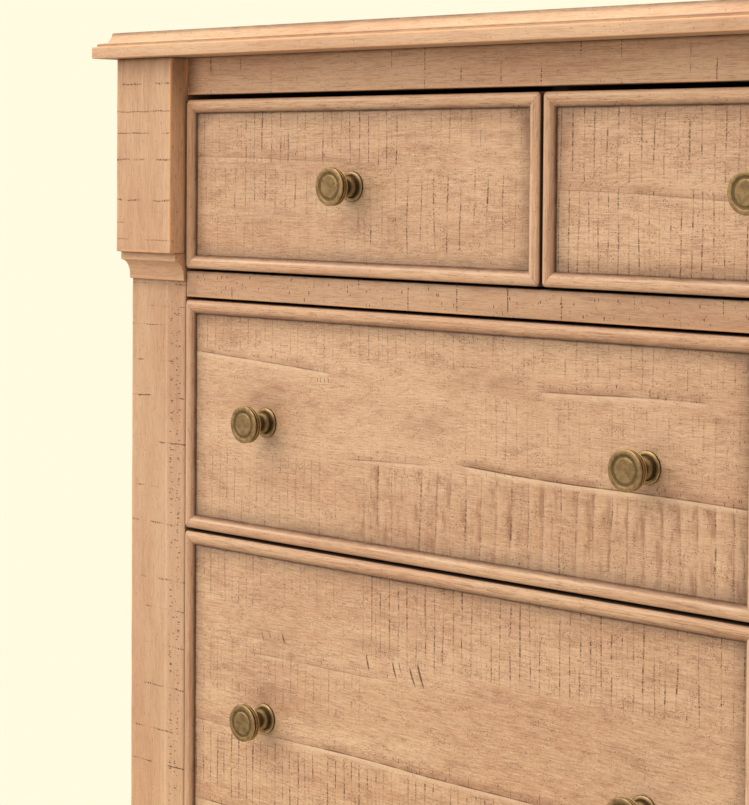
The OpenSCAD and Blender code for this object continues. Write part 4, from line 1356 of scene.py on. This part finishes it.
def make_knobs(name, y_panel):
    """The knobs of one drawer and the heads of their screws inside the box."""
    low, high = corners(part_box(f"{name}_knobs"))
    piece = Piece(f"knobs {name}")
    steps = [step for points, wear, glaze in KNOB for step in marked(points, wear, glaze)]
    outline = [(r * MM, h * MM) for (r, h), _, _ in steps]
    marks = [{"wear": wear, "glaze": glaze} for _, wear, glaze in steps]
    head = [(r * MM, -(h * MM)) for r, h in SCREW]
    radius = max(outline)[0]
    middle_z = (low[2] + high[2]) / 2
    xs = sorted({round(low[0] + radius, 4), round(high[0] - radius, 4)})
    if len(xs) == 2 and xs[1] - xs[0] < radius:
        xs = [sum(xs) / 2]
    for x in xs:
        piece.new_board(GRAIN_X)
        lathe(piece, (x, y_panel, middle_z), outline, KNOB_SIDES, marks)
        seat = (x, y_panel + FRONT_T + BOX_T, middle_z)
        lathe(piece, seat, head, SCREW_SIDES, [{"glaze": 0.3}] * len(head))
    piece.build(f"{name}_turned_knobs", name, [f"{name}_knobs"], "aged_brass", KNOB_SMOOTH_ANGLE)


drawers = [name for name in frame["bodies"] if name.startswith("drawer_")]
for name in drawers:
    front_low, front_high = corners(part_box(f"{name}_front"))
    bead_low, bead_high = corners(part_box(f"{name}_beads"))
    make_front(name, front_low, front_high)
    make_beads(name, bead_low, bead_high)
    make_knobs(name, front_low[1])

slot_of = {part["node"]: part["material_slot"] for part in frame["record"]["subparts"]}
for node, obj in frame["nodes"].items():
    obj.data.materials.clear()
    obj.data.materials.append(MATERIALS[slot_of[node]])


# Floor, light and camera

BACKGROUND = colour(255, 251, 224)
FLOOR_SHADE = colour(236, 230, 202)
SKY = colour(255, 248, 236)
AMBIENT = 0.5
FLOOR_SIZE = 12.0
# Distances from the dresser between which the floor fades into the background
FLOOR_NEAR = 0.02
FLOOR_FAR = 0.30
# Lights: direction from the target, distance, width and height, power in watts, tint and target
LIGHTS = {
    "key": ((-0.42, -0.66, 0.54), 4.2, (4.8, 4.0), 130.0, (1.0, 0.965, 0.91), (-0.2, -0.2, 0.6)),
    "fill": ((-0.7, -0.7, 0.0), 1.8, (2.0, 0.5), 2.7, (1.0, 0.98, 0.95), (-0.3, -0.24, 0.25)),
    "overhead": ((-0.1, -0.15, 1.0), 3.2, (3.0, 2.0), 70.0, (1.0, 0.98, 0.95), (0.0, 0.0, 0.6)),
}
# The photo's camera: its place, its turn to the left, upwards and around its own axis in degrees, its lens
CAMERA_PLACE = Vector((1.0855, -1.7667, 0.8120))
CAMERA_TURN = (44.29, -1.83, 0.37)
CAMERA_LENS = {"sensor_width": 36.0, "lens": 104.36, "shift_y": -0.2, "clip_start": 0.05}


def fade(tree, share, near, far, output):
    """One shader that fades into another with the share, on the way to the output."""
    both = tree.nodes.new("ShaderNodeMixShader")
    for source, socket in zip((share, near, far), both.inputs):
        tree.links.new(source, socket)
    tree.links.new(both.outputs[0], output)


def make_floor():
    """A pale floor that shows the contact shadow and fades into the background a little way out."""
    mesh = bpy.data.meshes.new("floor")
    half = FLOOR_SIZE / 2
    mesh.from_pydata([(-half, -half, 0), (half, -half, 0), (half, half, 0), (-half, half, 0)], [],
                     [(0, 1, 2, 3)])
    floor = add_object("floor", mesh)
    g = Graph("floor_paper")
    x, y, _ = g.split(g.place())
    out_x = (x.size() - top_high[0]).most(0.0)
    out_y = (y.size() - top_high[1]).most(0.0)
    distance = (out_x * out_x + out_y * out_y).power(0.5)
    grain = g.noise(g.place(), (3, 3, 3), 2.0)
    mesh.materials.append(g.finish(Base_Color=g.paint(BACKGROUND, (grain * 0.2, FLOOR_SHADE)), Roughness=0.8))
    clear = g.tree.nodes.new("ShaderNodeBsdfTransparent")
    fade(g.tree, distance.ramp(FLOOR_NEAR, FLOOR_FAR).socket, g.shader.outputs[0], clear.outputs[0],
         g.tree.nodes["Material Output"].inputs[0])


def make_world():
    """The background in its own colour, and a soft even light."""
    world = bpy.data.worlds.new("studio")
    world.use_nodes = True
    tree = world.node_tree
    lit = tree.nodes["Background"]
    lit.inputs["Color"].default_value = SKY
    lit.inputs["Strength"].default_value = AMBIENT
    seen = tree.nodes.new("ShaderNodeBackground")
    seen.inputs["Color"].default_value = BACKGROUND
    path = tree.nodes.new("ShaderNodeLightPath")
    fade(tree, path.outputs["Is Camera Ray"], lit.outputs[0], seen.outputs[0],
         tree.nodes["World Output"].inputs[0])
    bpy.context.scene.world = world


def softbox(name, direction, distance, size, power, tint, target):
    """A rectangular area light that looks at the target from a direction."""
    light = bpy.data.lights.new(name, "AREA")
    light.shape = "RECTANGLE"
    light.size, light.size_y = size
    light.energy = power
    light.color = tint
    lamp = add_object(name, light)
    away = Vector(direction).normalized()
    lamp.location = Vector(target) + away * distance
    lamp.rotation_euler = away.to_track_quat("Z", "Y").to_euler()


def make_camera():
    """The photo's camera, in front of the right half of the dresser."""
    data = bpy.data.cameras.new("photo_camera")
    for key, value in CAMERA_LENS.items():
        setattr(data, key, value)
    camera = add_object("photo_camera", data)
    yaw, pitch, roll = (math.radians(angle) for angle in CAMERA_TURN)
    upright = Matrix.Rotation(yaw, 4, "Z") @ Matrix.Rotation(math.pi / 2 + pitch, 4, "X")
    camera.matrix_world = Matrix.Translation(CAMERA_PLACE) @ upright @ Matrix.Rotation(roll, 4, "Z")
    bpy.context.scene.camera = camera


make_floor()
make_world()
for name, look in LIGHTS.items():
    softbox(name, *look)
make_camera()
bpy.context.scene.view_settings.view_transform = "Standard"
